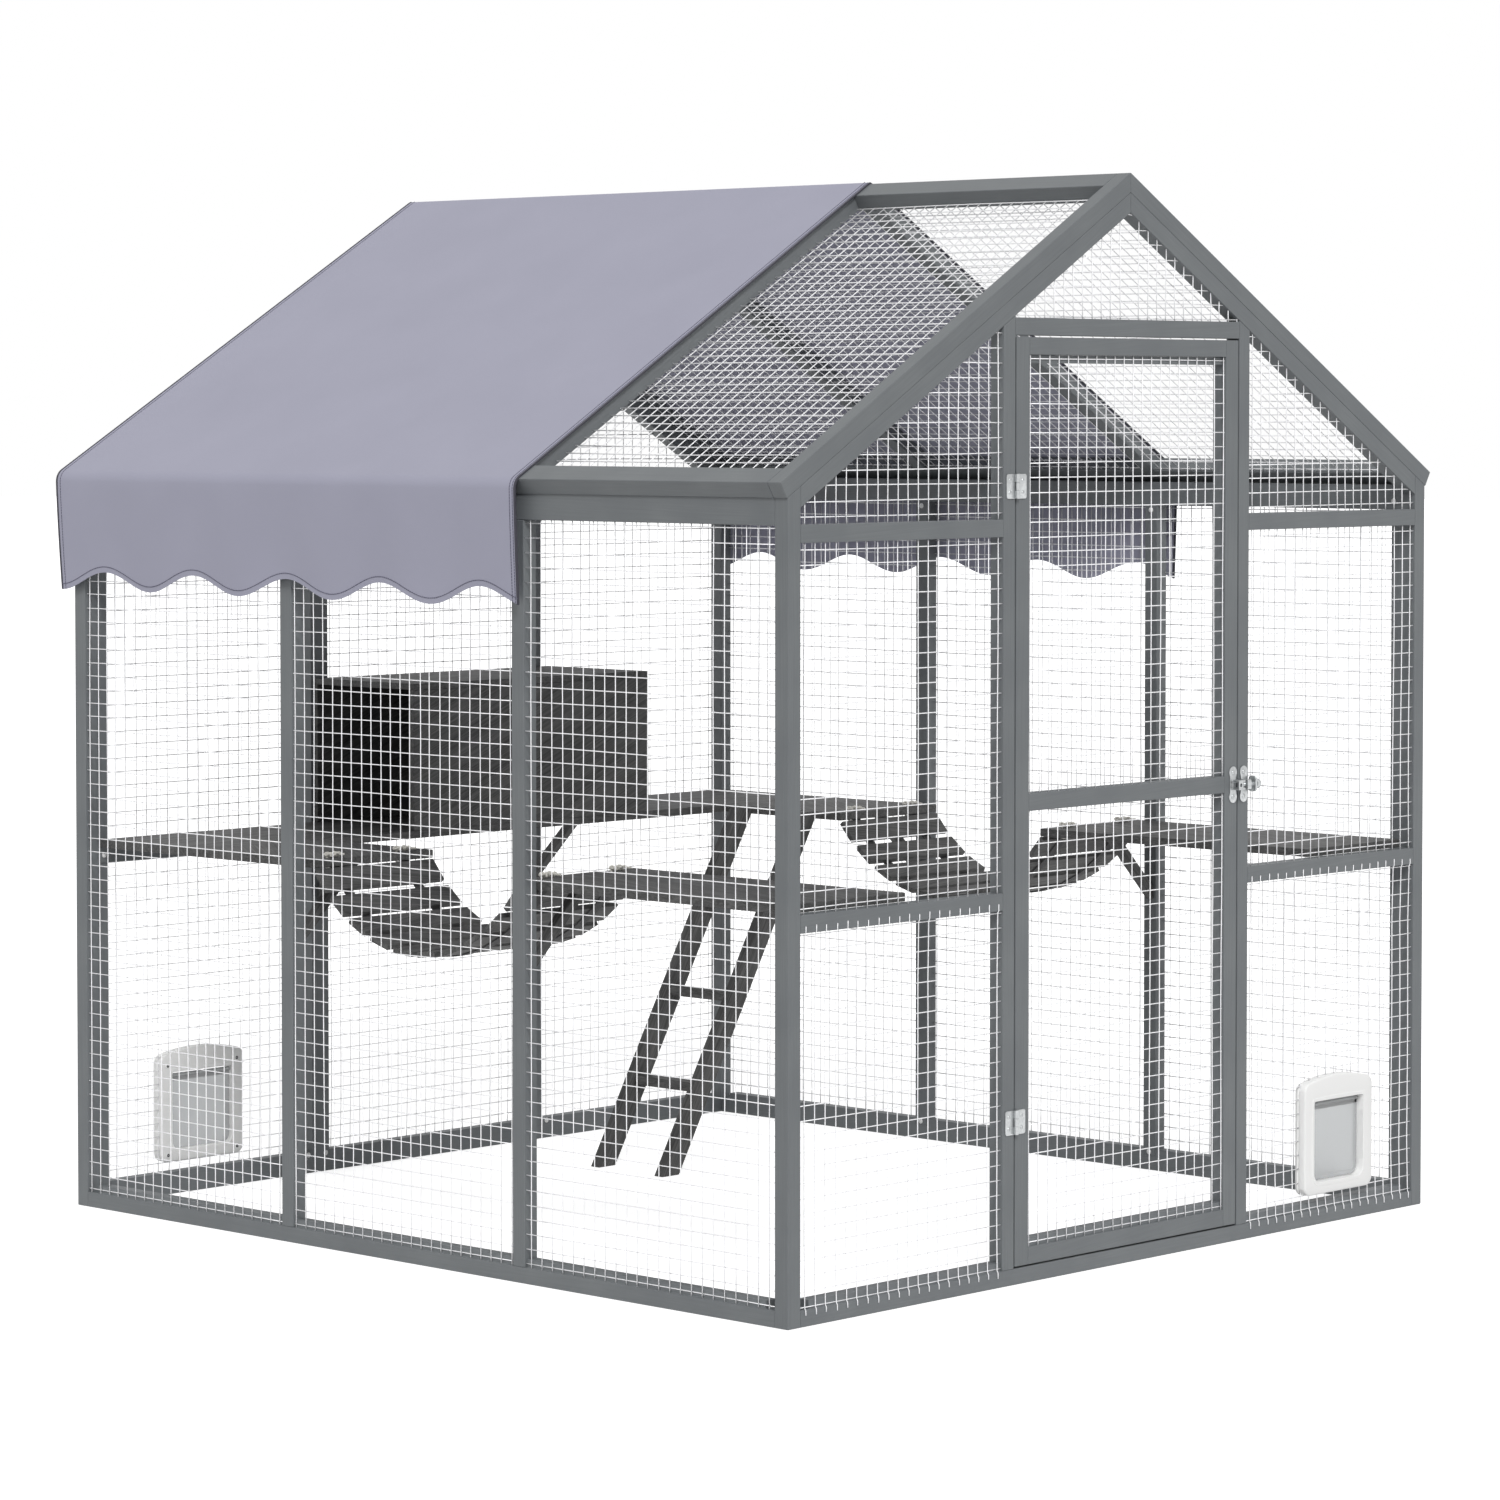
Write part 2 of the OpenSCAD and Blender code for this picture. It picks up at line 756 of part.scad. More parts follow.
// Side profile of the canopy at a distance d outside the roof, from the ridge to the hem
canopy_x = roof_slope_l * cos(roof_pitch) + canopy_stand_off;
canopy_hem_z = roof_top(canopy_x - canopy_stand_off) - canopy_drop;
bend_turn = 90 - roof_pitch;
function canopy_side(d) =
    let (x = canopy_x + d,
        z = roof_top(x) + d / cos(roof_pitch),
        r = canopy_bend_r + d,
        t = r * tan(bend_turn / 2))
    concat(
        [[0, ridge_h + d / cos(roof_pitch)]],
        [for (i = [0 : 6])
            let (a = bend_turn - i * bend_turn / 6)
            [x - r + r * cos(a), z - t + r * sin(a)]],
        [[x, canopy_hem_z]]);

// Height of the scalloped hem above the tips at a distance s along the canopy
function scallop(s) = scallop_h * (1 - cos(360 * s * scallop_count / canopy_l)) / 2;

module canopy() {
    outside = canopy_side(fit + canopy_t);
    inside = canopy_side(fit);
    count = len(outside);
    steps = scallop_count * 12;
    rear = canopy_front_y + canopy_l;
    color("#a3a1b4") intersection() {
        upright(canopy_front_y, rear)
            polygon(concat(
                [for (i = [1 : count]) [-outside[count - i][0], outside[count - i][1]]],
                [for (i = [1 : count - 1]) outside[i]],
                [for (i = [1 : count]) inside[count - i]],
                [for (i = [1 : count - 1]) [-inside[i][0], inside[i][1]]]));
        sideways(-canopy_x - canopy_t - 1, canopy_x + canopy_t + 1)
            polygon(concat(
                [for (i = [0 : steps])
                    [canopy_front_y + i * canopy_l / steps, canopy_hem_z + scallop(i * canopy_l / steps)]],
                [[rear, ridge_h + 20], [canopy_front_y, ridge_h + 20]]));
    }
}

// White caps over the frame screws, on the inner faces
module screw_caps() {
    cap_in = 13;
    color("white") both_sides() {
        for (place = [[rear_post_x, rise_top + cap_d], [rear_post_x, upper_rail_z - cap_d],
                [post_x - cap_in, mid_rail_z + batten_w / 2]])
            translate([place[0], inner_y, place[1]]) rotate([90, 0, 0]) cylinder(h = cap_h, d = cap_d);
        for (y = [side_post_1 + batten_w / 2, side_post_2 + batten_w / 2],
                z = [rise_top + cap_d, beam_z - cap_d])
            translate([inner_x - cap_h, y, z])
                rotate([0, 90, 0]) cylinder(h = cap_h, d = cap_d);
        translate([inner_x - cap_h, -post_y + 3 * cap_in, (beam_z + eave_z) / 2])
            rotate([0, 90, 0]) cylinder(h = cap_h, d = cap_d);
    }
}

// Door leaf between the door posts
leaf_x = door_post_x - door_gap;
leaf_z0 = bottom_rail_h + door_gap;
leaf_z1 = header_z - door_gap;
leaf_in = leaf_x - stile_w;

module door_stiles() {
    color(gray) both_sides() bar([leaf_in, -half_l, leaf_z0], [leaf_x, -inner_y, leaf_z1]);
}

module door_rails() {
    color(gray) {
        for (z = [leaf_z0, door_mid_z, leaf_z1 - door_rail_h])
            bar([-leaf_in, -half_l, z], [leaf_in, -inner_y, z + door_rail_h]);
        bar([-leaf_in, -half_l + rise_in, leaf_z0 + door_rail_h - 1],
            [leaf_in, -inner_y, leaf_z0 + door_rail_h + rail_rise]);
    }
}

module door_mesh() {
    color(wire_gray) upright(-half_l + mesh_inset, -half_l + mesh_inset + wire_d) {
        bay([-leaf_in, leaf_z0 + door_rail_h], [leaf_in, door_mid_z]);
        bay([-leaf_in, door_mid_z + door_rail_h], [leaf_in, leaf_z1 - door_rail_h]);
    }
}

// Hinges: flat leaves on the front faces, three knuckles each round a pin
hinge_x = -(door_post_x + leaf_x) / 2;
knuckle_d = hinge_pin_d + 2 * hinge_leaf_t;
hinge_y = -half_l - knuckle_d / 2;
knuckle_gap = 0.3;
hinge_heights = [hinge_low_z, hinge_high_z];

// A leaf plate to one side of the pin, its knuckle spans and two screw heads
module hinge_leaf(side, spans) {
    difference() {
        union() {
            for (s = spans)
                translate([0, 0, s[0]]) cylinder(h = s[1] - s[0], d = knuckle_d);
            for (s = spans)
                bar([min(0, side * knuckle_d), 0, s[0]], [max(0, side * knuckle_d), knuckle_d / 2, s[1]]);
            bar([min(side * (knuckle_d / 2 + knuckle_gap), side * hinge_leaf_w), knuckle_d / 2 - hinge_leaf_t,
                    -hinge_h / 2],
                [max(side * (knuckle_d / 2 + knuckle_gap), side * hinge_leaf_w), knuckle_d / 2, hinge_h / 2]);
        }
        translate([0, 0, -hinge_h]) cylinder(h = 2 * hinge_h, d = hinge_pin_d + 2 * run_fit);
    }
    for (z = [-hinge_h / 4, hinge_h / 4])
        translate([side * (hinge_leaf_w + knuckle_d) / 2, knuckle_d / 2 - hinge_leaf_t, z])
            rotate([90, 0, 0]) cylinder(h = 1, d = screw_d);
}

// Outer knuckles belong to the post, the middle one to the door
module door_hinge_leaves() {
    third = hinge_h / 6;
    color(steel) for (z = hinge_heights)
        translate([hinge_x, hinge_y, z]) hinge_leaf(1, [[-third + knuckle_gap, third - knuckle_gap]]);
}

module post_hinge_leaves() {
    third = hinge_h / 6;
    color(steel) for (z = hinge_heights)
        translate([hinge_x, hinge_y, z]) hinge_leaf(-1, [[-hinge_h / 2, -third], [third, hinge_h / 2]]);
}

module hinge_pins() {
    color(steel) for (z = hinge_heights)
        translate([hinge_x, hinge_y, z - hinge_h / 2]) {
            cylinder(h = hinge_h, d = hinge_pin_d);
            translate([0, 0, hinge_h]) cylinder(h = 1.5, d = knuckle_d);
        }
}

// Latch: the bolt slides in a guide on the post and enters a keeper on the door.
// It is drawn with the bolt back, so that the door is free to open.
latch_plate_t = 2;
guide_w = 18;
guide_l = 11;
keeper_l = 18;
grip_d = guide_w - 0.4;
bolt_y = -half_l - latch_plate_t - guide_w / 2;
keeper_x = leaf_x - 2 - latch_plate_w / 2;
post_plate_x = door_post_x + 4 + latch_plate_w / 2;
guide_x = post_plate_x - latch_plate_w / 2 + guide_l / 2;
bolt_tip = leaf_x + 1;
bolt_grip = guide_x + guide_l / 2 + bolt_travel + 0.5;

// A latch plate with round ends and two screw heads, centred on x
module latch_plate(x) {
    upright(-half_l - latch_plate_t, -half_l) translate([x, latch_z]) {
        square([latch_plate_w, latch_plate_h - latch_plate_w], center = true);
        for (z = [-1, 1]) translate([0, z * (latch_plate_h - latch_plate_w) / 2]) circle(d = latch_plate_w);
    }
    for (z = [-1, 1])
        translate([x, -half_l - latch_plate_t, latch_z + z * (latch_plate_h - latch_plate_w) / 2])
            rotate([90, 0, 0]) cylinder(h = 1.2, d = screw_d);
}

// A square sleeve with a square way for the bolt, centred on x
module keeper_sleeve(x, l) {
    way = bolt_d + 1;
    sideways(x - l / 2, x + l / 2) translate([bolt_y, latch_z]) difference() {
        square(guide_w, center = true);
        square(way, center = true);
    }
}

// A block bored for the bolt, centred on x
module bolt_guide(x, l) {
    difference() {
        translate([x - l / 2, bolt_y - guide_w / 2, latch_z - guide_w / 2]) cube([l, guide_w, guide_w]);
        translate([x - l, bolt_y, latch_z]) rotate([0, 90, 0]) cylinder(h = 2 * l, d = bolt_d + 2 * run_fit);
    }
}

module latch_keeper() {
    color(steel) {
        latch_plate(keeper_x);
        keeper_sleeve(leaf_x - keeper_l / 2, keeper_l);
    }
}

module latch_body() {
    color(steel) {
        latch_plate(post_plate_x);
        bolt_guide(guide_x, guide_l);
    }
}

module latch_bolt() {
    color(steel) {
        translate([0, bolt_y, latch_z]) rotate([0, 90, 0]) {
            translate([0, 0, bolt_tip]) cylinder(h = bolt_grip - bolt_tip + 4, d = bolt_d);
            translate([0, 0, bolt_grip + 4]) cylinder(h = 14, d = grip_d);
        }
        bar([bolt_grip, bolt_y - 9, latch_z - 14], [bolt_grip + 4, bolt_y + 9, latch_z + 14]);
    }
}

// Pet flaps in the lower right front bay and the lower left rear bay
flap_wall = 4;
flap_axis_z = flap_window_z + flap_window_h - 7;
flap_knuckle_d = flap_pin_d + 4;
flap_side_gap = 1.5;
flap_pin_hold = 3;
flap_screw_in = 17;

// Outline of a flap frame with an arched head
module flap_frame_outline() {
    low = flap_window_z - flap_sill_h;
    high = flap_window_z + flap_window_h + flap_head_h;
    arch = 14;
    r = (pow(flap_frame_w / 2, 2) + arch * arch) / (2 * arch);
    intersection() {
        translate([-flap_frame_w / 2, low]) square([flap_frame_w, high - low]);
        translate([0, high - r]) circle(r = r, $fn = 96);
    }
}

// Frame of a flap about the mesh plane at y = 0, outside towards -Y
module flap_frame() {
    outer = -wire_d / 2 - flap_frame_t;
    inner = wire_d / 2 + flap_back_t;
    difference() {
        union() {
            upright(outer, -wire_d / 2) flap_frame_outline();
            upright(wire_d / 2, inner) flap_frame_outline();
            upright(outer + 1, inner - 1) flap_tunnel_outline(0, flap_wall);
        }
        upright(outer - 1, inner + 1) flap_tunnel_outline(0, 0);
        translate([-flap_window_w / 2 - flap_pin_hold, 0, flap_axis_z])
            rotate([0, 90, 0]) cylinder(h = flap_window_w + 2 * flap_pin_hold, d = flap_pin_d + 2 * run_fit);
    }
    for (x = [-1, 1], z = [0, 1])
        translate([x * (flap_frame_w / 2 - flap_screw_in), outer,
                flap_window_z - flap_sill_h / 2 + z * (flap_window_h + flap_sill_h / 2 + flap_screw_in)])
            rotate([90, 0, 0]) cylinder(h = 1, d = screw_d);
}

// Clear flap with its knuckle, hanging from the pin
module flap_leaf() {
    w = flap_window_w - 2 * flap_side_gap;
    color([0.82, 0.84, 0.85, 0.6]) difference() {
        union() {
            translate([-w / 2, 0, flap_axis_z]) rotate([0, 90, 0]) cylinder(h = w, d = flap_knuckle_d);
            bar([-w / 2, -flap_t / 2, flap_window_z + 2], [w / 2, flap_t / 2, flap_axis_z]);
        }
        translate([-w, 0, flap_axis_z]) rotate([0, 90, 0]) cylinder(h = 2 * w, d = flap_pin_d + 2 * run_fit);
    }
}

module flap_pin() {
    hold = flap_pin_hold - 0.2;
    color(steel) translate([-flap_window_w / 2 - hold, 0, flap_axis_z])
        rotate([0, 90, 0]) cylinder(h = flap_window_w + 2 * hold, d = flap_pin_d);
}

// Places of the two flaps in their mesh planes
module at_front_flap() {
    translate([front_flap_x, -half_l + mesh_inset + wire_d / 2, 0]) children();
}

module at_rear_flap() {
    translate([rear_flap_x, half_l - mesh_inset - wire_d / 2, 0]) rotate([0, 0, 180]) children();
}

module front_flap_frame() {
    color("white") at_front_flap() flap_frame();
}

module front_flap() {
    at_front_flap() flap_leaf();
}

module front_flap_pin() {
    at_front_flap() flap_pin();
}

module rear_flap_frame() {
    color("white") at_rear_flap() flap_frame();
}

module rear_flap() {
    at_rear_flap() flap_leaf();
}

module rear_flap_pin() {
    at_rear_flap() flap_pin();
}

corner_posts();
left_wall_posts();
left_wall_rails();
right_wall_posts();
right_wall_rails();
front_door_posts();
front_wall_rails();
front_gable_battens();
rear_wall_posts();
rear_wall_rails();
rear_gable_battens();
left_roof_rafters();
left_roof_rails();
right_roof_rafters();
right_roof_rails();
left_wall_mesh();
right_wall_mesh();
front_wall_mesh();
rear_wall_mesh();
left_roof_mesh();
right_roof_mesh();
front_flap_mesh();
rear_flap_mesh();
rear_shelf();
left_rear_shelf();
right_rear_shelf();
left_front_shelf();
right_front_shelf();
left_shelf_braces();
right_shelf_braces();
rear_shelf_braces();
left_bridge_slats();
right_bridge_slats();
bridge_straps();
bridge_ties();
box_roof();
box_front();
box_back();
box_right_end();
ladder_rails();
ladder_rungs();
canopy();
screw_caps();
door_stiles();
door_rails();
door_mesh();
door_hinge_leaves();
post_hinge_leaves();
hinge_pins();
latch_keeper();
latch_body();
latch_bolt();
front_flap_frame();
front_flap();
front_flap_pin();
rear_flap_frame();
rear_flap();
rear_flap_pin();
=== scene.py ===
"""Looks of a walk-in outdoor pet enclosure: timber frame, welded mesh, walkway, flaps, latch and canopy.

Lengths are in millimetres up to Shape.finish, which turns them to metres.
"""

import json
import logging
import random
from collections.abc import Callable, Iterable, Sequence
from dataclasses import dataclass, field
from enum import Enum
from math import asin, atan2, cos, dist, pi, radians, sin, tan
from typing import Any

import bmesh
import bpy
from mathutils import Matrix, Vector

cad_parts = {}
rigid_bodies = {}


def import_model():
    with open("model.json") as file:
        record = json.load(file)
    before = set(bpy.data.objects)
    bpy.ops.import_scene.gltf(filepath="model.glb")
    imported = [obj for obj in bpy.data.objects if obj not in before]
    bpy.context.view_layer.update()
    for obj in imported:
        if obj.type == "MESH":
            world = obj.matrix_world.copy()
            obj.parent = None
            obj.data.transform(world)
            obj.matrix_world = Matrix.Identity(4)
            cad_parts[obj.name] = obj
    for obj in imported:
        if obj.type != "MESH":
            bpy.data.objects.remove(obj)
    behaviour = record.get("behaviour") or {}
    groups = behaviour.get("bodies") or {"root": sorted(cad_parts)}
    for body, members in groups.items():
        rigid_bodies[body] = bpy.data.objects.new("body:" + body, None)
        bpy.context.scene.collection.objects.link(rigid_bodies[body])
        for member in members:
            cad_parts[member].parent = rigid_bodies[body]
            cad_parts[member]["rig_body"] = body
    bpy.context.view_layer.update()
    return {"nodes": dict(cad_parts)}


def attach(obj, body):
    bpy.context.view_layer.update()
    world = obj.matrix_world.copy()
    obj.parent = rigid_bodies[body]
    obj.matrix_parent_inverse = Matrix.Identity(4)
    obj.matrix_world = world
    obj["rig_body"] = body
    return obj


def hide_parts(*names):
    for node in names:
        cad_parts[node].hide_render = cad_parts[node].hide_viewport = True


log = logging.getLogger("enclosure")

Point = Sequence[float]
Outline = list[tuple[float, float]]
Socket = bpy.types.NodeSocket

MM = 0.001
GRAIN = "grain_space"
RIGHT, REAR, FRONT, UP = (1.0, 0.0, 0.0), (0.0, 1.0, 0.0), (0.0, -1.0, 0.0), (0.0, 0.0, 1.0)

PITCH = radians(30.7)
COS, SIN = cos(PITCH), sin(PITCH)
RIDGE, BEAM, BATTEN = 1910.0, 1309.6, 30.0
INNER_X, INNER_Y = 845.0, 885.0
MESH_X, MESH_Y = 871.0, 911.0
FACE_Y = -915.0
RAIL_LOW, RAIL_MID, RAIL_HIGH = 28.0, (645.0, 675.0), (1281.0, 1311.0)
SHELF_LOW = 675.0
FRONT_FLAP_X, REAR_FLAP_X, FLAP_MIDDLE = 601.0, -579.0, 155.0
BAYS = ((-885.0, -298.0), (-268.0, 302.0), (332.0, 885.0))


def roof_top(x: float) -> float:
    """Height of the roof's outer face at a distance x from the middle."""
    return RIDGE - tan(PITCH) * abs(x)


def gable_under(x: float) -> float:
    """Height of the underside of the sloping gable battens at x."""
    return roof_top(x) - 2 * BATTEN / COS


def tunnel(x: float, half: float = 79.3) -> tuple[float, float, float, float]:
    """Low and high corner of the hole that a flap at x needs in the mesh."""
    return x - half, FLAP_MIDDLE - half, x + half, FLAP_MIDDLE + half


def linear(code: str) -> tuple[float, ...]:
    """Turns an sRGB hex colour to linear RGBA with an alpha of one."""
    parts = [int(code.lstrip("#")[i : i + 2], 16) / 255 for i in (0, 2, 4)]
    return (*(p / 12.92 if p <= 0.04045 else ((p + 0.055) / 1.055) ** 2.4 for p in parts), 1.0)


def stand(name: str, data: bpy.types.ID, at: Point = (0, 0, 0), turn: Point = (0, 0, 0)) -> bpy.types.Object:
    """Puts a new object in the scene, at a place in metres and a turn in degrees."""
    made = bpy.data.objects.new(name, data)
    made.location, made.rotation_euler = at, [radians(a) for a in turn]
    bpy.context.scene.collection.objects.link(made)
    return made


# ---------------------------------------------------------------- finishes


@dataclass
class Nodes:
    """A node tree in the making. Its short methods give back the new node's output."""

    tree: bpy.types.NodeTree

    def feed(self, node: bpy.types.Node, sockets: dict[str | int, Any]) -> None:
        """Sets a node's inputs, by name or number, to plain values or links them to output sockets."""
        for key, value in sockets.items():
            if isinstance(value, Socket):
                self.tree.links.new(value, node.inputs[key])
            else:
                node.inputs[key].default_value = value

    def put(self, kind: str, sockets: dict[str | int, Any] | None = None, **settings: Any) -> bpy.types.Node:
        """Adds a node with its settings, values and links.

        Args:
            kind: Blender's name of the node type, after its first part.
            sockets: Input name or number to a value, or to the output socket that feeds it.
            **settings: Properties of the node itself.

        Returns:
            The new node.
        """
        node = self.tree.nodes.new("ShaderNode" + kind)
        for key, value in settings.items():
            setattr(node, key, value)
        self.feed(node, sockets or {})
        return node

    def grain(self) -> Socket:
        """The piece's own grain coordinates, in metres."""
        return self.put("Attribute", attribute_name=GRAIN).outputs["Vector"]

    def place(self) -> Socket:
        """Object coordinates, in metres."""
        return self.put("TexCoord").outputs["Object"]

    def calc(self, operation: str, *values: Any) -> Socket:
        """One sum on up to three values."""
        return self.put("Math", dict(enumerate(values)), operation=operation).outputs[0]

    def stretched(self, space: Socket, sizes: Point) -> Socket:
        """Coordinates that count in lengths of their own along each axis."""
        return self.put("Mapping", {"Vector": space, "Scale": [1 / (s * MM) for s in sizes]}).outputs[0]

    def noise(self, space: Socket, scale: float = 1.0, detail: float = 2.0, **more: float) -> Socket:
        """Soft noise at a scale."""
        return self.put("TexNoise", {"Vector": space, "Scale": scale, "Detail": detail, **more}).outputs[0]

    def remap(self, value: Socket, low: float = 0, high: float = 1, start: float = 0, end: float = 1) -> Socket:
        """Takes a value from one range to another."""
        return self.put("MapRange", {0: value, 1: low, 2: high, 3: start, 4: end}).outputs[0]

    def mix(self, factor: Socket, low: str, high: str) -> Socket:
        """Blends two hex colours."""
        return self.put("Mix", {"Factor": factor, 6: linear(low), 7: linear(high)}, data_type="RGBA").outputs[2]

    def bump(self, height: Socket, relief: float, strength: float = 1.0) -> Socket:
        """Turns a height to a normal, with the relief in millimetres."""
        return self.put("Bump", {"Height": height, "Distance": relief * MM, "Strength": strength}).outputs[0]


def fresh(holder: bpy.types.Material | bpy.types.World) -> Nodes:
    """Empties the node tree of a material or a world."""
    holder.use_nodes = True
    holder.node_tree.nodes.clear()
    return Nodes(holder.node_tree)


class Slot(Enum):
    """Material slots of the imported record."""

    PAINT = "frame_paint"
    WIRE = "wire_mesh"
    BOARD = "dark_board"
    STRAP = "strap"
    ROPE = "rope"
    CLOTH = "cloth"
    WHITE = "white_plastic"
    CLEAR = "clear_plastic"
    STEEL = "steel"


@dataclass(frozen=True)
class Finish:
    """What every finish has: the shader's plain values, and a pattern that each subclass draws."""

    name: str
    colour: str
    slot: Slot
    roughness: float = 0.5
    metallic: float = 0.0
    ior: float = 1.5

    def pattern(self, nodes: Nodes) -> dict[str | int, Any]:
        """What the surface's own pattern feeds to the shader: nothing here."""
        return {}

    def build(self) -> bpy.types.Material:
        """Makes the material, once."""
        made = bpy.data.materials.get(self.name)
        if made is None:
            made = bpy.data.materials.new(self.name)
            nodes = fresh(made)
            plain = {"Base Color": linear(self.colour), "Roughness": self.roughness, "Metallic": self.metallic}
            shader = nodes.put("BsdfPrincipled", plain if self.metallic else {**plain, "IOR": self.ior})
            nodes.put("OutputMaterial", {"Surface": shader.outputs[0]})
            nodes.feed(shader, self.pattern(nodes))
        return made


@dataclass(frozen=True)
class PaintedFir(Finish):
    """Planed fir with a sprayed water-based paint: an even film that lets the grain be felt."""

    dark: str = "#6C7073"
    grain_width: float = 3.0
    grain_length: float = 160.0
    relief: float = 0.12

    def fibres(self, nodes: Nodes, space: Socket, **more: float) -> Socket:
        """Noise drawn out along the member."""
        sizes = (self.grain_length, self.grain_width, self.grain_width)
        return nodes.noise(nodes.stretched(space, sizes), **more)

    def pattern(self, nodes: Nodes) -> dict[str | int, Any]:
        """Draws faint lines along each member, in tone, gloss and height."""
        space = nodes.grain()
        grain = self.fibres(nodes, space, detail=4.0, Roughness=0.6, Distortion=0.4)
        tone = nodes.remap(nodes.calc("MULTIPLY", grain, nodes.noise(space, 9.0)), 0.12, 0.42)
        return {
            "Base Color": nodes.mix(tone, self.dark, self.colour),
            "Roughness": nodes.remap(grain, start=self.roughness - 0.05, end=self.roughness + 0.08),
            "Normal": nodes.bump(grain, self.relief),
        }


@dataclass(frozen=True)
class StainedPine(PaintedFir):
    """Pine board with a stain: the soft wood drinks more, so the rings show as dark and pale streaks."""

    pale: str = "#626261"
    knot: tuple[float, float, float] = (260.0, 70.0, 70.0)

    def pattern(self, nodes: Nodes) -> dict[str | int, Any]:
        """Draws wide rings bent round knots, with fine pores over them."""
        space = nodes.grain()
        knots = nodes.noise(nodes.stretched(space, self.knot), detail=1.5)
        bands = nodes.calc("SINE", nodes.calc("MULTIPLY", knots, 26.0))
        pores = self.fibres(nodes, space, detail=6.0, Roughness=0.7, Distortion=0.5)
        streaks = nodes.calc("MULTIPLY_ADD", bands, 0.07, pores)
        return {
            "Base Color": nodes.mix(nodes.remap(streaks, 0.33, 0.68), self.dark, self.pale),
            "Roughness": nodes.remap(pores, start=self.roughness + 0.1, end=self.roughness - 0.08),
            "Normal": nodes.bump(streaks, self.relief),
        }


@dataclass(frozen=True)
class ZincCoat(Finish):
    """Coated steel: a soft spangle in tone and gloss, at the crystals' size."""

    metallic: float = 1.0
    cloud: float = 8.0
    dull: str = "#A9ACAD"

    def pattern(self, nodes: Nodes) -> dict[str | int, Any]:
        """Draws the spangle."""
        spangle = nodes.noise(nodes.place(), 1 / (self.cloud * MM), 3.0)
        return {
            "Base Color": nodes.mix(spangle, self.dull, self.colour),
            "Roughness": nodes.remap(spangle, start=self.roughness + 0.12, end=self.roughness - 0.1),
            "Normal": nodes.bump(spangle, 0.04),
        }


@dataclass(frozen=True)
class MouldedPlastic(Finish):
    """Injection moulded plastic: an even colour with the faint orange peel of the tool."""

    peel: float = 1.4
    relief: float = 0.03
    clearness: float = 0.0

    def pattern(self, nodes: Nodes) -> dict[str | int, Any]:
        """Draws the peel as a low bump and a slight change of gloss."""
        peel = nodes.noise(nodes.place(), 1 / (self.peel * MM))
        return {
            "Roughness": nodes.remap(peel, start=self.roughness - 0.04, end=self.roughness + 0.04),
            "Normal": nodes.bump(peel, self.relief),
            "Transmission Weight": self.clearness,
        }


@dataclass(frozen=True)
class WovenCloth(Finish):
    """Woven polyester: a plain weave with a dull sheen. Threads are drawn coarser than the real 0.4 mm."""

    dark: str = "#9594A6"
    thread: float = 1.5
    relief: float = 0.10
    sheen: float = 0.15
    twill: bool = False

    def pattern(self, nodes: Nodes) -> dict[str | int, Any]:
        """Draws warp and weft from the cloth's own lengths, and slow clouds of tone."""
        space, waves = nodes.grain(), []
        axes = nodes.put("SeparateXYZ", {0: space}).outputs
        for axis in (0, 1):
            run = axes[axis]
            if self.twill:
                run = nodes.calc("MULTIPLY_ADD", axes[1 - axis], 0.5 * axis, run)
            waves.append(nodes.calc("SINE", nodes.calc("MULTIPLY", run, pi / (self.thread * MM))))
        weave = nodes.calc("MULTIPLY", *waves)
        tone = nodes.calc("MULTIPLY_ADD", weave, 0.08, nodes.noise(space, 5.0, 3.0))
        return {
            "Base Color": nodes.mix(tone, self.dark, self.colour),
            "Normal": nodes.bump(weave, self.relief, 0.6),
            "Sheen Weight": self.sheen,
            "Sheen Roughness": 0.5,
        }


@dataclass(frozen=True)
class TwistedYarn(Finish):
    """Twisted polyester yarn: dull, with fine fibres that shade each other."""

    fibre: float = 0.5
    shade: str = "#CFCDC6"

    def pattern(self, nodes: Nodes) -> dict[str | int, Any]:
        """Draws the fibres as a fine bump with a little shade between them."""
        fibres = nodes.noise(nodes.place(), 1 / (self.fibre * MM), 3.0)
        tone = nodes.mix(fibres, self.shade, self.colour)
        return {"Base Color": tone, "Normal": nodes.bump(fibres, 0.15, 0.8)}


# An even mid grey that stays the same on every face, with lines felt more than seen.
FIR = PaintedFir("fir_sprayed_grey", "#777B7D", Slot.PAINT)
# Near black boards with paler streaks, so they stand back behind the mesh.
PINE = StainedPine(
    "pine_charcoal_stain", "#4B4B4B", Slot.BOARD, 0.6,
    dark="#363636", grain_width=4.0, grain_length=220.0, relief=0.25,
)  # fmt: skip
# Pale and half dull, so a wire is white before dark timber and a thin grey line before white.
WIRE = ZincCoat("wire_galvanised", "#F3F3F4", Slot.WIRE, 0.62, dull="#DFDFE1")
# Brighter and smoother than the wire: small silver fittings.
STEEL = ZincCoat("steel_zinc_plated", "#D0D2D3", Slot.STEEL, 0.32, cloud=5.0)
# Drinks light, so each screw reads as a small dark dot on the white moulding.
OXIDE = ZincCoat("steel_black_oxide", "#4A4B4D", Slot.STEEL, 0.45, cloud=3.0, dull="#333436")
# Clean white with a soft gleam on its rims.
WHITE = MouldedPlastic("abs_moulded_white", "#FBFBFA", Slot.WHITE, 0.38)
# Half clear grey: the mesh behind the leaf is guessed, not seen.
CLEAR = MouldedPlastic("acrylic_moulded_smoke", "#D8DADB", Slot.CLEAR, 0.22, ior=1.49, clearness=0.5)
# Grey lavender, a little uneven, with no gloss.
CLOTH = WovenCloth("polyester_woven_lavender", "#AEAEC0", Slot.CLOTH, 0.75, dark="#A4A4B6")
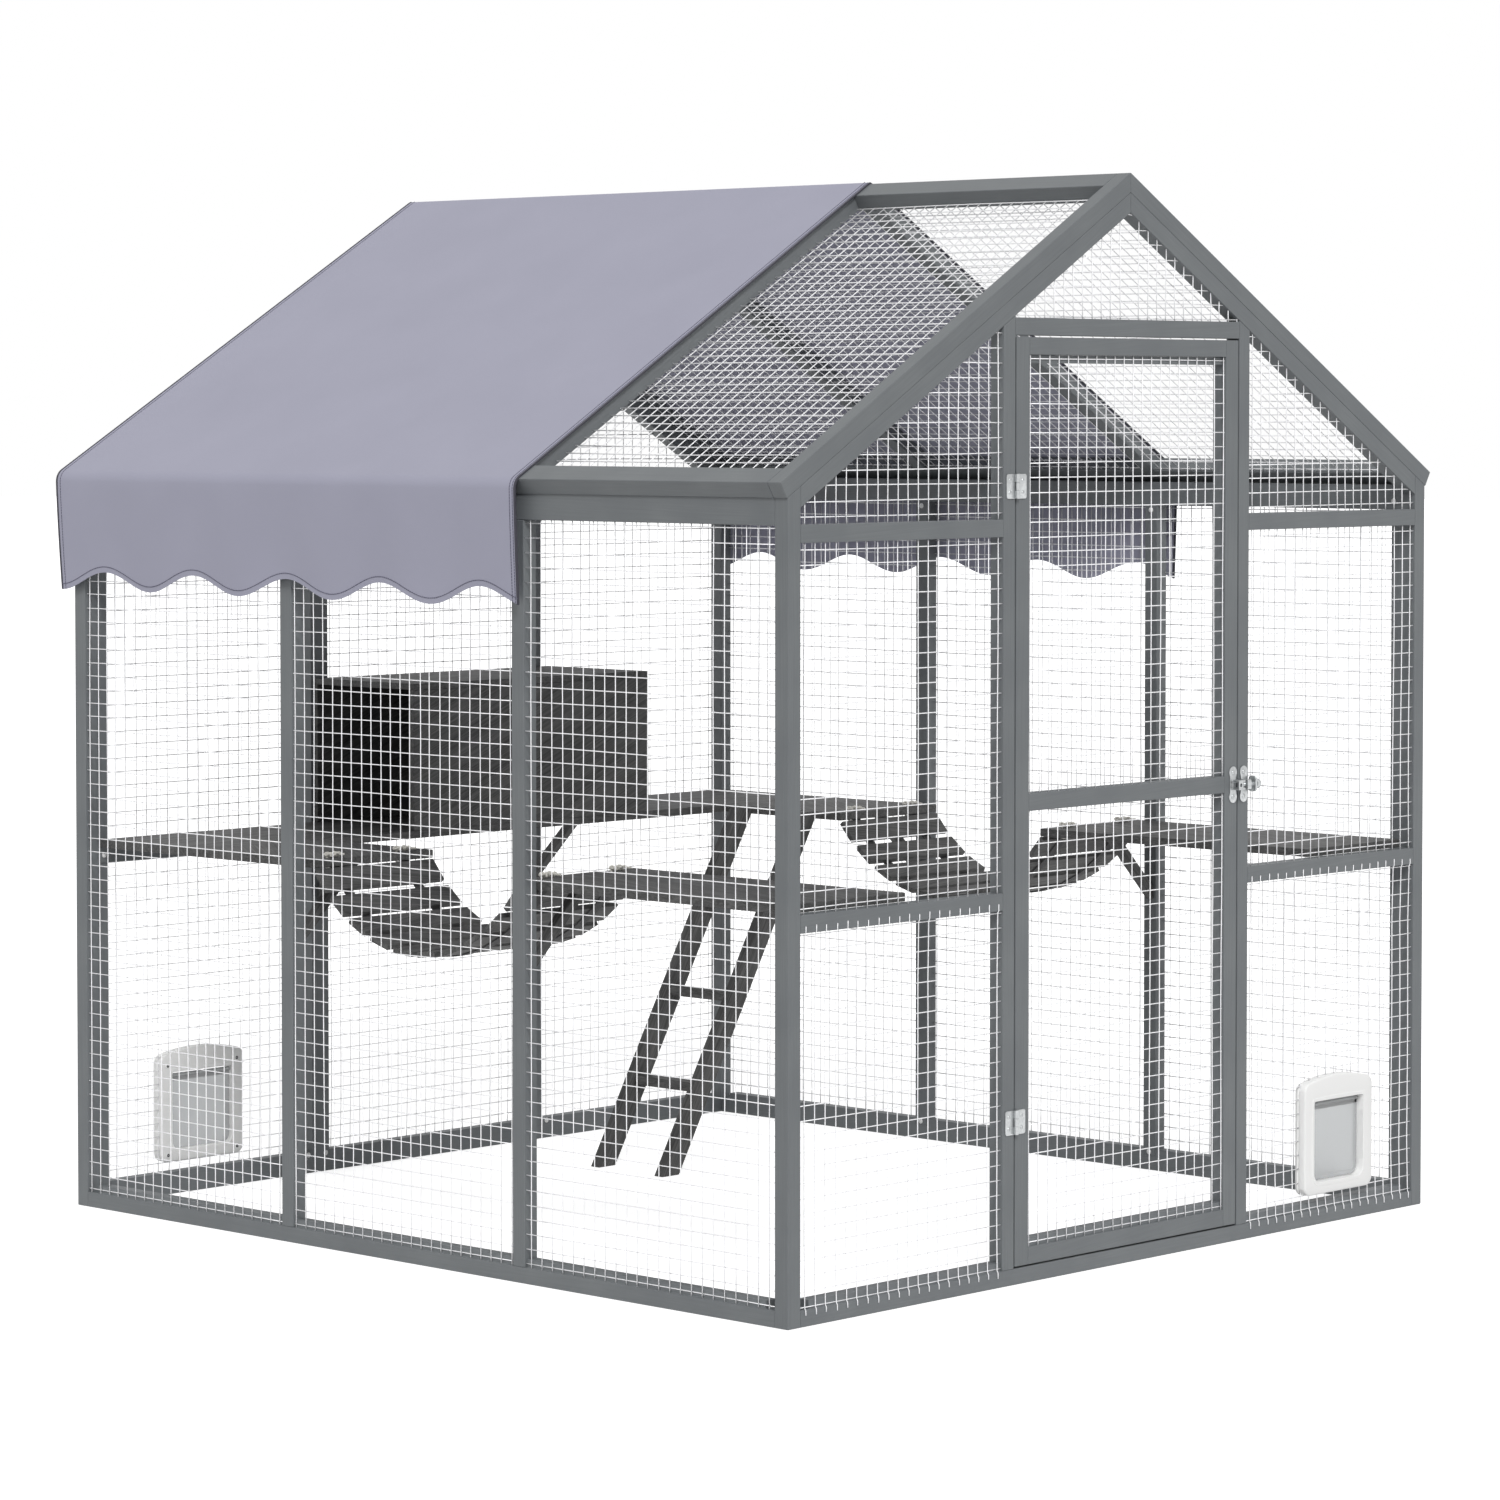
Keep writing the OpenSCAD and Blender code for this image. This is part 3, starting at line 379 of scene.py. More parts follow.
# A dark strip wrapped round the sheet's front and rear edges: a thin dark line where the sheet ends against the
# sky.
DARK_EDGE_STRIP = WovenCloth("polyester_dark_edge_strip", "#3F3E49", Slot.CLOTH, 0.8, dark="#33323C")
# A fine darker line that runs along the scallops.
THREAD = TwistedYarn("thread_polyester_lavender", "#5F5E72", Slot.CLOTH, 0.7, shade="#504F61")
# Flat black ribs across each strap.
WEBBING = WovenCloth(
    "polypropylene_webbing", "#3B3B3C", Slot.STRAP, 0.7, dark="#242425", thread=2.0, relief=0.3, twill=True
)
# Soft white, the brightest small thing on the walkway.
ROPE = TwistedYarn("rope_twisted_white", "#F1EFE8", Slot.ROPE, 0.8)


# ---------------------------------------------------------------- shapes


def placing(origin: Point, out: Point, up: Point = UP) -> Matrix:
    """A place for a fitting: its third axis points out, its second up."""
    z, y = Vector(out).normalized(), Vector(up).normalized()
    return Matrix.Translation(Vector(origin)) @ Matrix((y.cross(z), y, z)).transposed().to_4x4()


def shifted(*by: float) -> Matrix:
    """A plain move."""
    return Matrix.Translation(Vector(by))


def arc(centre: Point, radius: float, start: float, turn: float, steps: int) -> Outline:
    """Points along an arc, from a start angle through a turn, both in degrees."""
    angles = [radians(start + turn * k / steps) for k in range(steps + 1)]
    return [(centre[0] + radius * cos(a), centre[1] + radius * sin(a)) for a in angles]


def reach(outline: Outline, angle: float) -> float:
    """Distance from the middle of an outline to its farthest crossing in a direction."""
    c, s = cos(angle), sin(angle)
    best = 0.0
    for (x0, y0), (x1, y1) in zip(outline, [*outline[1:], outline[0]]):
        dx, dy = x1 - x0, y1 - y0
        det = dx * s - dy * c
        if abs(det) > 1e-12:
            t = (y0 * c - x0 * s) / det
            r = (x0 + t * dx) * c + (y0 + t * dy) * s
            if -1e-9 <= t <= 1 + 1e-9 and r > best:
                best = r
    return best


def rounded_box(width: float, height: float, radii: float | Sequence[float], steps: int = 6) -> Outline:
    """Outline of a box with rounded corners, anticlockwise from its lower right corner.

    Args:
        width: Size along the first axis.
        height: Size along the second axis.
        radii: One corner radius, or four: lower right, upper right, upper left, lower left.
        steps: Pieces of each corner's arc.

    Returns:
        The outline's corners.
    """
    outline = []
    corners = [radii] * 4 if isinstance(radii, (int, float)) else radii
    for k, ((sx, sy), r) in enumerate(zip([(1, -1), (1, 1), (-1, 1), (-1, -1)], corners)):
        outline += arc((sx * (width / 2 - r), sy * (height / 2 - r)), r, 90 * k - 90, 90, steps)
    return outline


def inset(outline: Outline, by: float) -> Outline:
    """Moves an anticlockwise outline inwards by a small amount."""
    if not by:
        return outline
    moved, n = [], len(outline)
    for i, here in enumerate(map(Vector, outline)):
        a, b = here - Vector(outline[i - 1]), Vector(outline[(i + 1) % n]) - here
        a = a.normalized() if a.length > 1e-9 else b.normalized()
        b = b.normalized() if b.length > 1e-9 else a
        normal = Vector((-(a.y + b.y), a.x + b.x))
        normal = normal.normalized() if normal.length > 1e-9 else Vector((-a.y, a.x))
        lean = max(0.4, normal.dot(Vector((-a.y, a.x))))
        moved.append(tuple(here + normal * by / lean))
    return moved


def carried(path: Sequence[Point], looped: bool) -> list[tuple[Vector, Vector, Vector]]:
    """Each point of a path with two directions across it, which turn as little as they can."""
    line, side, frames = [Vector(p) for p in path], None, []
    for i, p in enumerate(line):
        before = line[i - 1] if looped or i else p
        after = line[(i + 1) % len(line)] if looped or i < len(line) - 1 else p
        way = (after - before).normalized()
        side = way.orthogonal().normalized() if side is None else side
        side = (side - way * side.dot(way)).normalized()
        frames.append((p, side, way.cross(side)))
    return frames


@dataclass
class Shape:
    """One piece in the making: its points and faces in millimetres, in the part's frame."""

    name: str
    points: list[Vector] = field(default_factory=list)
    faces: list[tuple[int, ...]] = field(default_factory=list)
    smooth: list[bool] = field(default_factory=list)
    grain: list[Vector] = field(default_factory=list)

    def add(
        self,
        points: Iterable[Point],
        faces: Iterable[Sequence[int]],
        smooth: bool = False,
        place: Matrix | None = None,
        grain: Iterable[Point] | None = None,
    ) -> None:
        """Adds points and faces.

        Args:
            points: The new points.
            faces: Faces, numbered from the first new point.
            smooth: Whether the faces are shaded smooth.
            place: Where the points go, if not where they are.
            grain: Material coordinates of the points, else the points themselves.
        """
        start = len(self.points)
        own = [Vector(p) for p in points]
        self.grain += [Vector(g) for g in grain] if grain is not None else own
        self.points += [place @ p for p in own] if place else own
        for f in faces:
            self.faces.append(tuple(start + i for i in f))
            self.smooth.append(smooth)

    def skin(
        self,
        rings: Sequence[Sequence[Point]],
        looped: bool = False,
        smooth: bool = True,
        place: Matrix | None = None,
        grain: Iterable[Point] | None = None,
    ) -> None:
        """Joins rings of equal count into one skin, closed by flat caps unless the last ring joins the first.

        Args:
            rings: The rings, in order.
            looped: Whether the last ring joins the first.
            smooth: Whether the skin is shaded smooth.
            place: Where the rings go, if not where they are.
            grain: Material coordinates of the points, else the points themselves.
        """
        count, total = len(rings[0]), len(rings)
        faces = []
        for i in range(total if looped else total - 1):
            a, b = i * count, (i + 1) % total * count
            faces += [(a + j, a + (j + 1) % count, b + (j + 1) % count, b + j) for j in range(count)]
        start = len(self.points)
        self.add([p for ring in rings for p in ring], faces, smooth, place, grain)
        if not looped:
            for end in (range(count - 1, -1, -1), range((total - 1) * count, total * count)):
                self.faces.append(tuple(start + i for i in end))
                self.smooth.append(False)

    def rod(self, path: Sequence[Point], radius: float, sides: int = 6, looped: bool = False) -> None:
        """Sweeps a round section along a path, open or looped."""
        turns = [2 * pi * k / sides for k in range(sides)]
        rings = [[p + radius * (cos(a) * u + sin(a) * v) for a in turns] for p, u, v in carried(path, looped)]
        self.skin(rings, looped)

    def turned(self, profile: Iterable[Point], place: Matrix, sides: int = 24) -> None:
        """Turns a profile of (radius, height) points about the third axis of a place."""
        turns = [2 * pi * k / sides for k in range(sides)]
        rings = [[(max(r, 0.01) * cos(a), max(r, 0.01) * sin(a), h) for a in turns] for r, h in profile]
        self.skin(rings, place=place)

    def plate(self, outline: Outline, low: float, high: float, place: Matrix, ease: float = 0.5) -> None:
        """Makes a flat plate with eased rims.

        Args:
            outline: The plate's anticlockwise outline.
            low: Third coordinate of its back.
            high: Third coordinate of its front.
            place: Where the plate goes.
            ease: Width of the eased rim.
        """
        levels = ((ease, low), (0, low + ease), (0, high - ease), (ease * 0.3, high - ease * 0.3), (ease, high))
        self.skin([[(x, y, h) for x, y in inset(outline, by)] for by, h in levels], smooth=False, place=place)

    def box(self, low: Point, high: Point, ease: float = 0.5) -> None:
        """Adds a block from low to high with eased edges."""
        sx, sy, sz = (b - a for a, b in zip(low, high))
        middle = shifted(*((a + b) / 2 for a, b in zip(low, high)))
        self.plate(rounded_box(sx, sy, ease, 2), -sz / 2, sz / 2, middle, ease)

    def bored(self, outline: Outline, levels: Iterable[tuple[float, float, float]], place: Matrix) -> None:
        """Makes a block with a round hole, on the third axis of a place.

        Args:
            outline: The block's outline.
            levels: Height, inset of the outline, and hole radius or zero for the outline, round the section.
            place: Where the block goes.
        """
        angles = [2 * pi * k / 32 for k in range(32)]
        rings = []
        for h, by, hole in levels:
            radii = [hole or reach(outline, a) - by for a in angles]
            rings.append([(r * cos(a), r * sin(a), h) for r, a in zip(radii, angles)])
        self.skin(rings, looped=True, smooth=False, place=place)

    def screw(self, place: Matrix, radius: float = 3.5, height: float = 1.2) -> None:
        """Adds a pan head with a cross recess, on the third axis of a place."""
        w, arm, depth = 0.45, radius * 0.62, height * 0.75
        cross = [(arm, w), (w, w), (w, arm), (-w, arm), (-w, w), (-arm, w)]
        cross += [(-x, -y) for x, y in cross]
        corners = {round(atan2(y, x), 5) for x, y in cross}
        angles = sorted(corners | {k * pi / 8 + 0.196 for k in range(-8, 8)})
        disc = [(cos(a), sin(a)) for a in angles]
        recess = [reach(cross, a) for a in angles]
        rings = [[(radius * x, radius * y, -0.05) for x, y in disc]]
        for r, h in ((radius, 0.45), (0.93 * radius, 0.75), (0.78 * radius, 0.93)):
            rings.append([(r * x, r * y, h * height) for x, y in disc])
        for share, h in ((1.0, height), (0.8, height - depth)):
            rings.append([(share * r * x, share * r * y, h) for r, (x, y) in zip(recess, disc)])
        self.skin(rings, smooth=False, place=place)

    def finish(
        self, finish: Finish, body: str, replaced: Sequence[str] = (), crease: float | None = None
    ) -> bpy.types.Object:
        """Turns the shape to a Blender object that rides on its body.

        Args:
            finish: What it is made of.
            body: The CAD body that it rides on.
            replaced: CAD nodes that it stands for.
            crease: Angle in degrees over which smooth faces meet sharp.

        Returns:
            The object.
        """
        mesh = bpy.data.meshes.new(self.name)
        mesh.from_pydata([p * MM for p in self.points], [], self.faces)
        mesh.polygons.foreach_set("use_smooth", self.smooth)
        space = mesh.attributes.new(GRAIN, "FLOAT_VECTOR", "POINT")
        space.data.foreach_set("vector", [c * MM for g in self.grain for c in g])
        work = bmesh.new()
        work.from_mesh(mesh)
        bmesh.ops.recalc_face_normals(work, faces=work.faces)
        work.to_mesh(mesh)
        work.free()
        if crease is not None:
            mesh.set_sharp_from_angle(angle=radians(crease))
        mesh.materials.append(finish.build())
        piece = stand(self.name, mesh)
        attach(piece, body)
        if replaced:
            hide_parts(*replaced)
        log.info("%s: %d faces", self.name, len(self.faces))
        return piece


# ---------------------------------------------------------------- camera and studio


@dataclass
class Studio:
    """Camera at the photograph's angle, a white floor and plain soft light."""

    camera_at: tuple[float, float, float] = (-6.6573, -6.3105, 1.499)
    camera_turn: tuple[float, float, float] = (87.76, 0.0, -46.534)
    lens: float = 117.413
    sensor: float = 36.0
    shift: float = -0.1
    key_strength: float = 1.8
    key_wide: float = 16.0
    key_turn: tuple[float, float, float] = (48.0, 0.0, -38.0)
    fill: float = 0.4
    floor_glow: float = 0.82
    paper: float = 0.7
    floor_half: float = 60.0
    floor_drop: float = 0.001

    def camera(self) -> None:
        """Makes the camera and hands it to the scene."""
        data = bpy.data.cameras.new("camera")
        data.lens, data.sensor_width, data.shift_y = self.lens, self.sensor, self.shift
        bpy.context.scene.camera = stand("camera", data, self.camera_at, self.camera_turn)

    def strength(self, nodes: Nodes, unseen: float, seen: float) -> Socket:
        """One strength for rays from the camera, a reflection or a clear part, another for all others."""
        path = nodes.put("LightPath").outputs
        first = nodes.calc("MAXIMUM", path["Is Camera Ray"], path["Is Glossy Ray"])
        return nodes.remap(nodes.calc("MAXIMUM", first, path["Is Transmission Ray"]), start=unseen, end=seen)

    def world(self) -> None:
        """Lights everything softly and shows as white."""
        world = bpy.data.worlds.new("studio")
        nodes = fresh(world)
        strength = self.strength(nodes, self.fill, 1.0)
        light = nodes.put("Background", {"Color": (1, 1, 1, 1), "Strength": strength})
        nodes.put("OutputWorld", {"Surface": light.outputs[0]})
        bpy.context.scene.world = world

    def key(self) -> None:
        """Adds one wide soft key light from the front left."""
        data = bpy.data.lights.new("key", "SUN")
        data.energy, data.angle = self.key_strength, radians(self.key_wide)
        stand("key", data, turn=self.key_turn)

    def floor(self) -> None:
        """Adds a white floor that keeps the object's shadow."""
        paper = bpy.data.materials.new("paper_white")
        nodes = fresh(paper)
        matt = nodes.put("BsdfDiffuse", {"Color": (self.paper, self.paper, self.paper, 1)})
        strength = self.strength(nodes, 0.0, self.floor_glow)
        glow = nodes.put("Emission", {"Color": (1, 1, 1, 1), "Strength": strength})
        both = nodes.put("AddShader", {0: matt.outputs[0], 1: glow.outputs[0]})
        nodes.put("OutputMaterial", {"Surface": both.outputs[0]})
        mesh = bpy.data.meshes.new("floor")
        far = self.floor_half
        corners = [(x * far, y * far, -self.floor_drop) for x, y in ((-1, -1), (1, -1), (1, 1), (-1, 1))]
        mesh.from_pydata(corners, [], [(0, 1, 2, 3)])
        mesh.materials.append(paper)
        stand("floor", mesh)

    def build(self) -> None:
        """Sets up the whole studio."""
        self.camera()
        self.world()
        self.key()
        self.floor()
        bpy.context.scene.view_settings.view_transform = "Standard"
        log.info("studio")


# ---------------------------------------------------------------- timber


@dataclass
class Timber:
    """Frame members and boards, taken from the part's solids, with eased edges and grain along each."""

    nodes: dict[str, bpy.types.Object]
    ease: float = 1.3
    shortest: float = 5.0
    seed: int = 11

    FRAME = (
        "corner_posts", "left_wall_posts", "left_wall_rails", "right_wall_posts", "right_wall_rails",
        "front_door_posts", "front_wall_rails", "front_gable_battens", "rear_wall_posts", "rear_wall_rails",
        "rear_gable_battens", "left_roof_rafters", "left_roof_rails", "right_roof_rafters", "right_roof_rails",
        "door_stiles", "door_rails",
    )  # fmt: skip
    BOARDS = (
        "rear_shelf", "left_rear_shelf", "right_rear_shelf", "left_front_shelf", "right_front_shelf",
        "left_shelf_braces", "right_shelf_braces", "rear_shelf_braces", "left_bridge_slats",
        "right_bridge_slats", "box_roof", "box_front", "box_back", "box_right_end", "ladder_rails",
        "ladder_rungs",
    )  # fmt: skip

    def members(self, node: str) -> list[bmesh.types.BMesh]:
        """Splits a node's mesh into its separate members, welded and without inner edges.

        Args:
            node: Name of the CAD node.

        Returns:
            One mesh for each member, in millimetres.
        """
        whole = bmesh.new()
        whole.from_mesh(self.nodes[node].data)
        bmesh.ops.scale(whole, vec=(1 / MM,) * 3, verts=whole.verts)
        bmesh.ops.remove_doubles(whole, verts=whole.verts, dist=0.01)
        whole.verts.index_update()
        left, parts = set(whole.verts), []
        while left:
            group, ahead = set(), [left.pop()]
            while ahead:
                v = ahead.pop()
                group.add(v)
                near = {e.other_vert(v) for e in v.link_edges} & left
                left -= near
                ahead += near
            part = bmesh.new()
            made = {v: part.verts.new(v.co) for v in sorted(group, key=lambda v: v.index)}
            for f in sorted({f for v in group for f in v.link_faces}, key=lambda f: f.index):
                part.faces.new([made[v] for v in f.verts])
            bmesh.ops.dissolve_limit(part, angle_limit=0.01, verts=part.verts, edges=part.edges)
            parts.append(part)
        whole.free()
        parts.sort(key=lambda p: tuple(round(min(v.co[i] for v in p.verts), 1) for i in range(3)))
        return parts

    def sharp(self, edge: bmesh.types.BMEdge) -> bool:
        """Whether an edge gets eased."""
        return edge.is_manifold and edge.calc_face_angle(0) > 0.5 and edge.calc_length() > self.shortest

    def build(self, node: str, finish: Finish) -> None:
        """Builds the piece that stands for a node, in a finish."""
        luck = random.Random(f"{self.seed}{node}")
        shape = Shape(node + "_timber")
        for part in self.members(node):
            longest = max(part.edges, key=lambda e: e.calc_length())
            way = (longest.verts[0].co - longest.verts[1].co).normalized()
            side = way.cross(Vector(UP) if abs(way.z) < 0.7 else Vector(REAR)).normalized()
            other = way.cross(side)
            shift = Vector([luck.uniform(0, 4000) for _ in range(3)])
            edges = [e for e in part.edges if self.sharp(e)]
            bmesh.ops.bevel(
                part, geom=edges, offset=self.ease, offset_type="OFFSET", segments=2, profile=0.5,
                affect="EDGES", clamp_overlap=True,
            )  # fmt: skip
            part.verts.index_update()
            shape.add(
                [v.co.copy() for v in part.verts],
                [[v.index for v in f.verts] for f in part.faces],
                grain=[Vector((v.co.dot(way), v.co.dot(side), v.co.dot(other))) + shift for v in part.verts],
            )
            part.free()
        shape.finish(finish, self.nodes[node]["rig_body"], [node])

    def build_all(self) -> None:
        """Builds the frame and the boards."""
        for names, finish in ((self.FRAME, FIR), (self.BOARDS, PINE)):
            for node in names:
                self.build(node, finish)


@dataclass
class HoldingStrips:
    """Planed strips behind the mesh: beside two corner posts and under the door's top rail."""

    wide: float = 24.0
    deep: float = 23.6
    door_half: float = 270.5
    door_heights: tuple[float, float] = (1577.0, 1590.5)
    gap: float = 0.5

    def strip(self, name: str, body: str, boxes: Sequence[tuple[Point, Point]]) -> None:
        """Builds one strip on a body, from the low and high corner of each length of it."""
        shape = Shape(name)
        for low, high in boxes:
            shape.box(low, high, 1.0)
        shape.grain = [Vector((p[2], p[0], p[1])) for p in shape.points]
        shape.finish(FIR, body)

    def build(self) -> None:
        """Builds the strips, broken by the rails."""
        x, y, w, d, gap = INNER_X, INNER_Y, self.wide, self.deep, self.gap
        spans = ((RAIL_LOW + gap, RAIL_MID[0] - gap), (RAIL_MID[1] + gap, RAIL_HIGH[0] - gap))
        self.strip("rear_left_corner_strip", "enclosure", [((-x, y, a), (w - x, y + d, b)) for a, b in spans])
        front = ((x, -y, RAIL_LOW + gap), (x + d, w - y, BEAM - gap))
        self.strip("front_right_corner_strip", "enclosure", [front])
        half, (low, high) = self.door_half, self.door_heights
        self.strip("door_top_strip", "door", [((-half, -y - d, low), (half, -y, high))])


# ---------------------------------------------------------------- welded mesh


@dataclass
class Panel:
    """One bay of mesh: an outline in the plane of the wall, with any holes cut out of it."""

    outline: Outline
    holes: list[tuple[float, float, float, float]] = field(default_factory=list)
    tips: float = 0.0
    top_tips: float = 0.0

    def limits(self, axis: int) -> tuple[float, float]:
        """Lowest and highest coordinate of the outline along an axis."""
        values = [p[axis] for p in self.outline]
        return min(values), max(values)

    def spans(self, at: float, upright: bool) -> Outline:
        """Stretches of one wire inside the panel.

        Args:
            at: The wire's place across its run.
            upright: Whether it runs along the second axis.

        Returns:
            Start and end of each stretch.
        """
        a, b = (0, 1) if upright else (1, 0)
        cuts = []
        for p, q in zip(self.outline, [*self.outline[1:], self.outline[0]]):
            if (p[a] - at) * (q[a] - at) < 0:
                cuts.append(p[b] + (q[b] - p[b]) * (at - p[a]) / (q[a] - p[a]))
        cuts.sort()
        spans = list(zip(cuts[::2], cuts[1::2]))
        for hole in self.holes:
            if hole[a] < at < hole[a + 2]:
                pieces = [s for lo, hi in spans for s in ((lo, min(hi, hole[b])), (max(lo, hole[b + 2]), hi))]
                spans = [s for s in pieces if s[1] - s[0] > 1]
        return spans


@dataclass
class WeldedMesh:
    """Welded wire mesh of one inch cells: round wires in two touching layers, a little out of true."""

    cell: float = 25.4
    diameter: float = 2.0
    layer: float = 0.8
    sway: float = 0.55
    hold: float = 4.0
    step: float = 100.0
    rim: float = 3.0
    lean: float = 0.5
    bow: float = 0.9
    tips: float = 10.0
    top_tips: float = 12.0
    roof_depth: float = 26.0
    seed: int = 5

    def swell(self, u: float, v: float, phases: Point) -> float:
        """How far a point of a panel stands out of its plane."""
        wide = sin(u / 97 + phases[0]) * sin(v / 131 + phases[1])
        return self.sway * (wide + 0.6 * sin(u / 53 + v / 71 + phases[2]))

    def tip(
        self, line: list[Point], place: Callable, at: float, lean: float, edge: float, way: int, over: float
    ) -> None:
        """Bends a wire's end out over the rail and on along its face.

        Args:
            line: The wire's points, from low to high.
            place: Turns a point of the wall's plane to a point of the part.
            at: The wire's place.
            lean: How far it leans.
            edge: Height of the rail's edge.
            way: Which end, -1 for the low one.
            over: Length over the rail.
        """
        bent = [
            place(at + lean * 1.2, edge + way * over, 5.1),
            place(at + lean, edge + way * 1.5, 4.9),
            place(at + lean, edge - way * 2.5, 2.6),
        ]
        if way < 0:
            line[:1] = bent
        else:
            line[-1:] = reversed(bent)

    def build(
        self,
        name: str,
        panels: Sequence[Panel],
        place: Callable[[float, float, float], Point],
        body: str,
        replaced: Sequence[str],
    ) -> None:
        """Builds the wires of one wall.

        Args:
            name: Name of the piece.
            panels: The wall's bays.
            place: Turns a point of the wall's plane and its distance outwards to a point of the part.
            body: The body that it rides on.
            replaced: CAD nodes that it stands for.
        """
        shape = Shape(name)
        luck = random.Random(f"{self.seed}{name}")
        for panel in panels:
            phases = [luck.uniform(0, 6.28) for _ in range(4)]
            bottom, top = panel.limits(1)
            for upright in (True, False):
                low, high = panel.limits(0 if upright else 1)
                count = int((high - low - 2 * self.rim) / self.cell)
                for k in range(count + 1):
                    at = (high + low - count * self.cell) / 2 + k * self.cell
                    lean, bow, turn = luck.gauss(0, self.lean), luck.gauss(0, self.bow), luck.uniform(0, 6.28)
                    for start, end in panel.spans(at, upright):
                        parts = max(2, round((end - start) / self.step))
                        line = []
                        for t in (i / parts for i in range(parts + 1)):
                            run = start - self.hold + (end - start + 2 * self.hold) * t
                            off = lean * (2 * t - 1) + bow * sin(pi * t) * sin(2.3 * t + turn)
                            u, v = (at + off, run) if upright else (run, at + off)
                            d = self.swell(u, v, phases) + (self.layer if upright else -self.layer)
                            line.append(place(u, v, d))
                        if upright and panel.tips and abs(start - bottom) < 1:
                            self.tip(line, place, at, lean, start, -1, panel.tips + luck.uniform(-1.5, 1.5))
                        if upright and panel.top_tips and abs(end - top) < 1:
                            self.tip(line, place, at, lean, end, 1, panel.top_tips + luck.uniform(-1.5, 1.5))
                        shape.rod(line, self.diameter / 2)
        shape.finish(WIRE, body, replaced)

    def box(self, u0: float, v0: float, u1: float, v1: float, **extra: Any) -> Panel:
        """A rectangular bay."""
        return Panel([(u0, v0), (u1, v0), (u1, v1), (u0, v1)], **extra)

    def slopes(self) -> None:
        """Builds the mesh of the two long walls."""
        for name, g in (("left", -1), ("right", 1)):
            panels = [self.box(a, RAIL_LOW + 1, b, BEAM) for a, b in BAYS]
            place = lambda u, v, d, g=g: (g * (MESH_X + d), u, v)  # noqa: E731
            self.build(f"{name}_wall_wires", panels, place, "enclosure", [f"{name}_wall_mesh"])

    def gable(self, end: str, way: int, columns: Outline, hole: tuple[float, ...], peak: Outline) -> None:
        """Builds the mesh of one gable, with the flap's tunnel cut out and wire tips over the rails.

        Args:
            end: Which gable, front or rear.
            way: Its direction along the second axis.
            columns: Low and high x of its bays, the two under the slopes first.
            hole: Low and high corner of the tunnel.
            peak: Outline of the bay under the ridge.
        """
        base, tips = RAIL_HIGH[1], {"tips": self.tips, "top_tips": self.top_tips}
        panels = []
        for a, b in columns:
            holes = [hole] if a < hole[0] < b else []
            panels.append(self.box(a, RAIL_LOW, b, RAIL_MID[0], holes=holes, **tips))
        panels += [self.box(a, RAIL_MID[1], b, RAIL_HIGH[0]) for a, b in columns]
        for a, b in columns[:2]:
            panels.append(Panel([(a, base), (b, base), (b, gable_under(b)), (a, gable_under(a))]))
        panels.append(Panel(peak))
        replaced = [f"{end}_wall_mesh", f"{end}_flap_mesh"]
        place = lambda u, v, d: (u, way * (MESH_Y + d), v)  # noqa: E731
        self.build(f"{end}_wall_wires", panels, place, "enclosure", replaced)

    def front_wall(self, post: float = 339.0, header: float = 1654.0) -> None:
        """Builds the front gable's mesh, from its door posts' outer faces and the header's top."""
        half = (gable_under(0) - header) / tan(PITCH)
        peak = [(-half, header), (half, header), (0, gable_under(0))]
        columns = [(-INNER_X, -post), (post, INNER_X)]
        self.gable("front", -1, columns, tunnel(FRONT_FLAP_X), peak)

    def rear_wall(self, outer: float = 314.0, inner: float = 270.0) -> None:
        """Builds the rear gable's mesh, from both faces of its posts."""
        base, top = RAIL_HIGH[1], gable_under(inner)
        peak = [(-inner, base), (inner, base), (inner, top), (0, gable_under(0)), (-inner, top)]
        columns = [(-INNER_X, -outer), (outer, INNER_X), (-inner, inner)]
        self.gable("rear", 1, columns, tunnel(REAR_FLAP_X), peak)

    def roof(self, inner: float = 45.0, outer: float = 993.5) -> None:
        """Builds the mesh of both roof panels, near the underside of their frames."""
        for name, g in (("left", -1), ("right", 1)):
            self.build(
                f"{name}_roof_wires",
                [self.box(inner, a, outer, b) for a, b in BAYS],
                lambda u, v, d, g=g: (
                    g * (u * COS + (d - self.roof_depth) * SIN),
                    v,
                    RIDGE - u * SIN + (d - self.roof_depth) * COS,
                ),
                "enclosure",
                [f"{name}_roof_mesh"],
            )

    def door(self, half: float = 271.0, panes: Sequence[Point] = ((61, 811), (841, 1591))) -> None:
        """Builds the mesh of the door's two panes."""
        panels = [self.box(-half, low, half, high) for low, high in panes]
        self.build("door_wires", panels, lambda u, v, d: (u, -MESH_Y - d, v), "door", ["door_mesh"])

    def build_all(self) -> None:
        """Builds every panel."""
        self.slopes()
        self.front_wall()
        self.rear_wall()
        self.roof()
        self.door()


# ---------------------------------------------------------------- hinges and latch


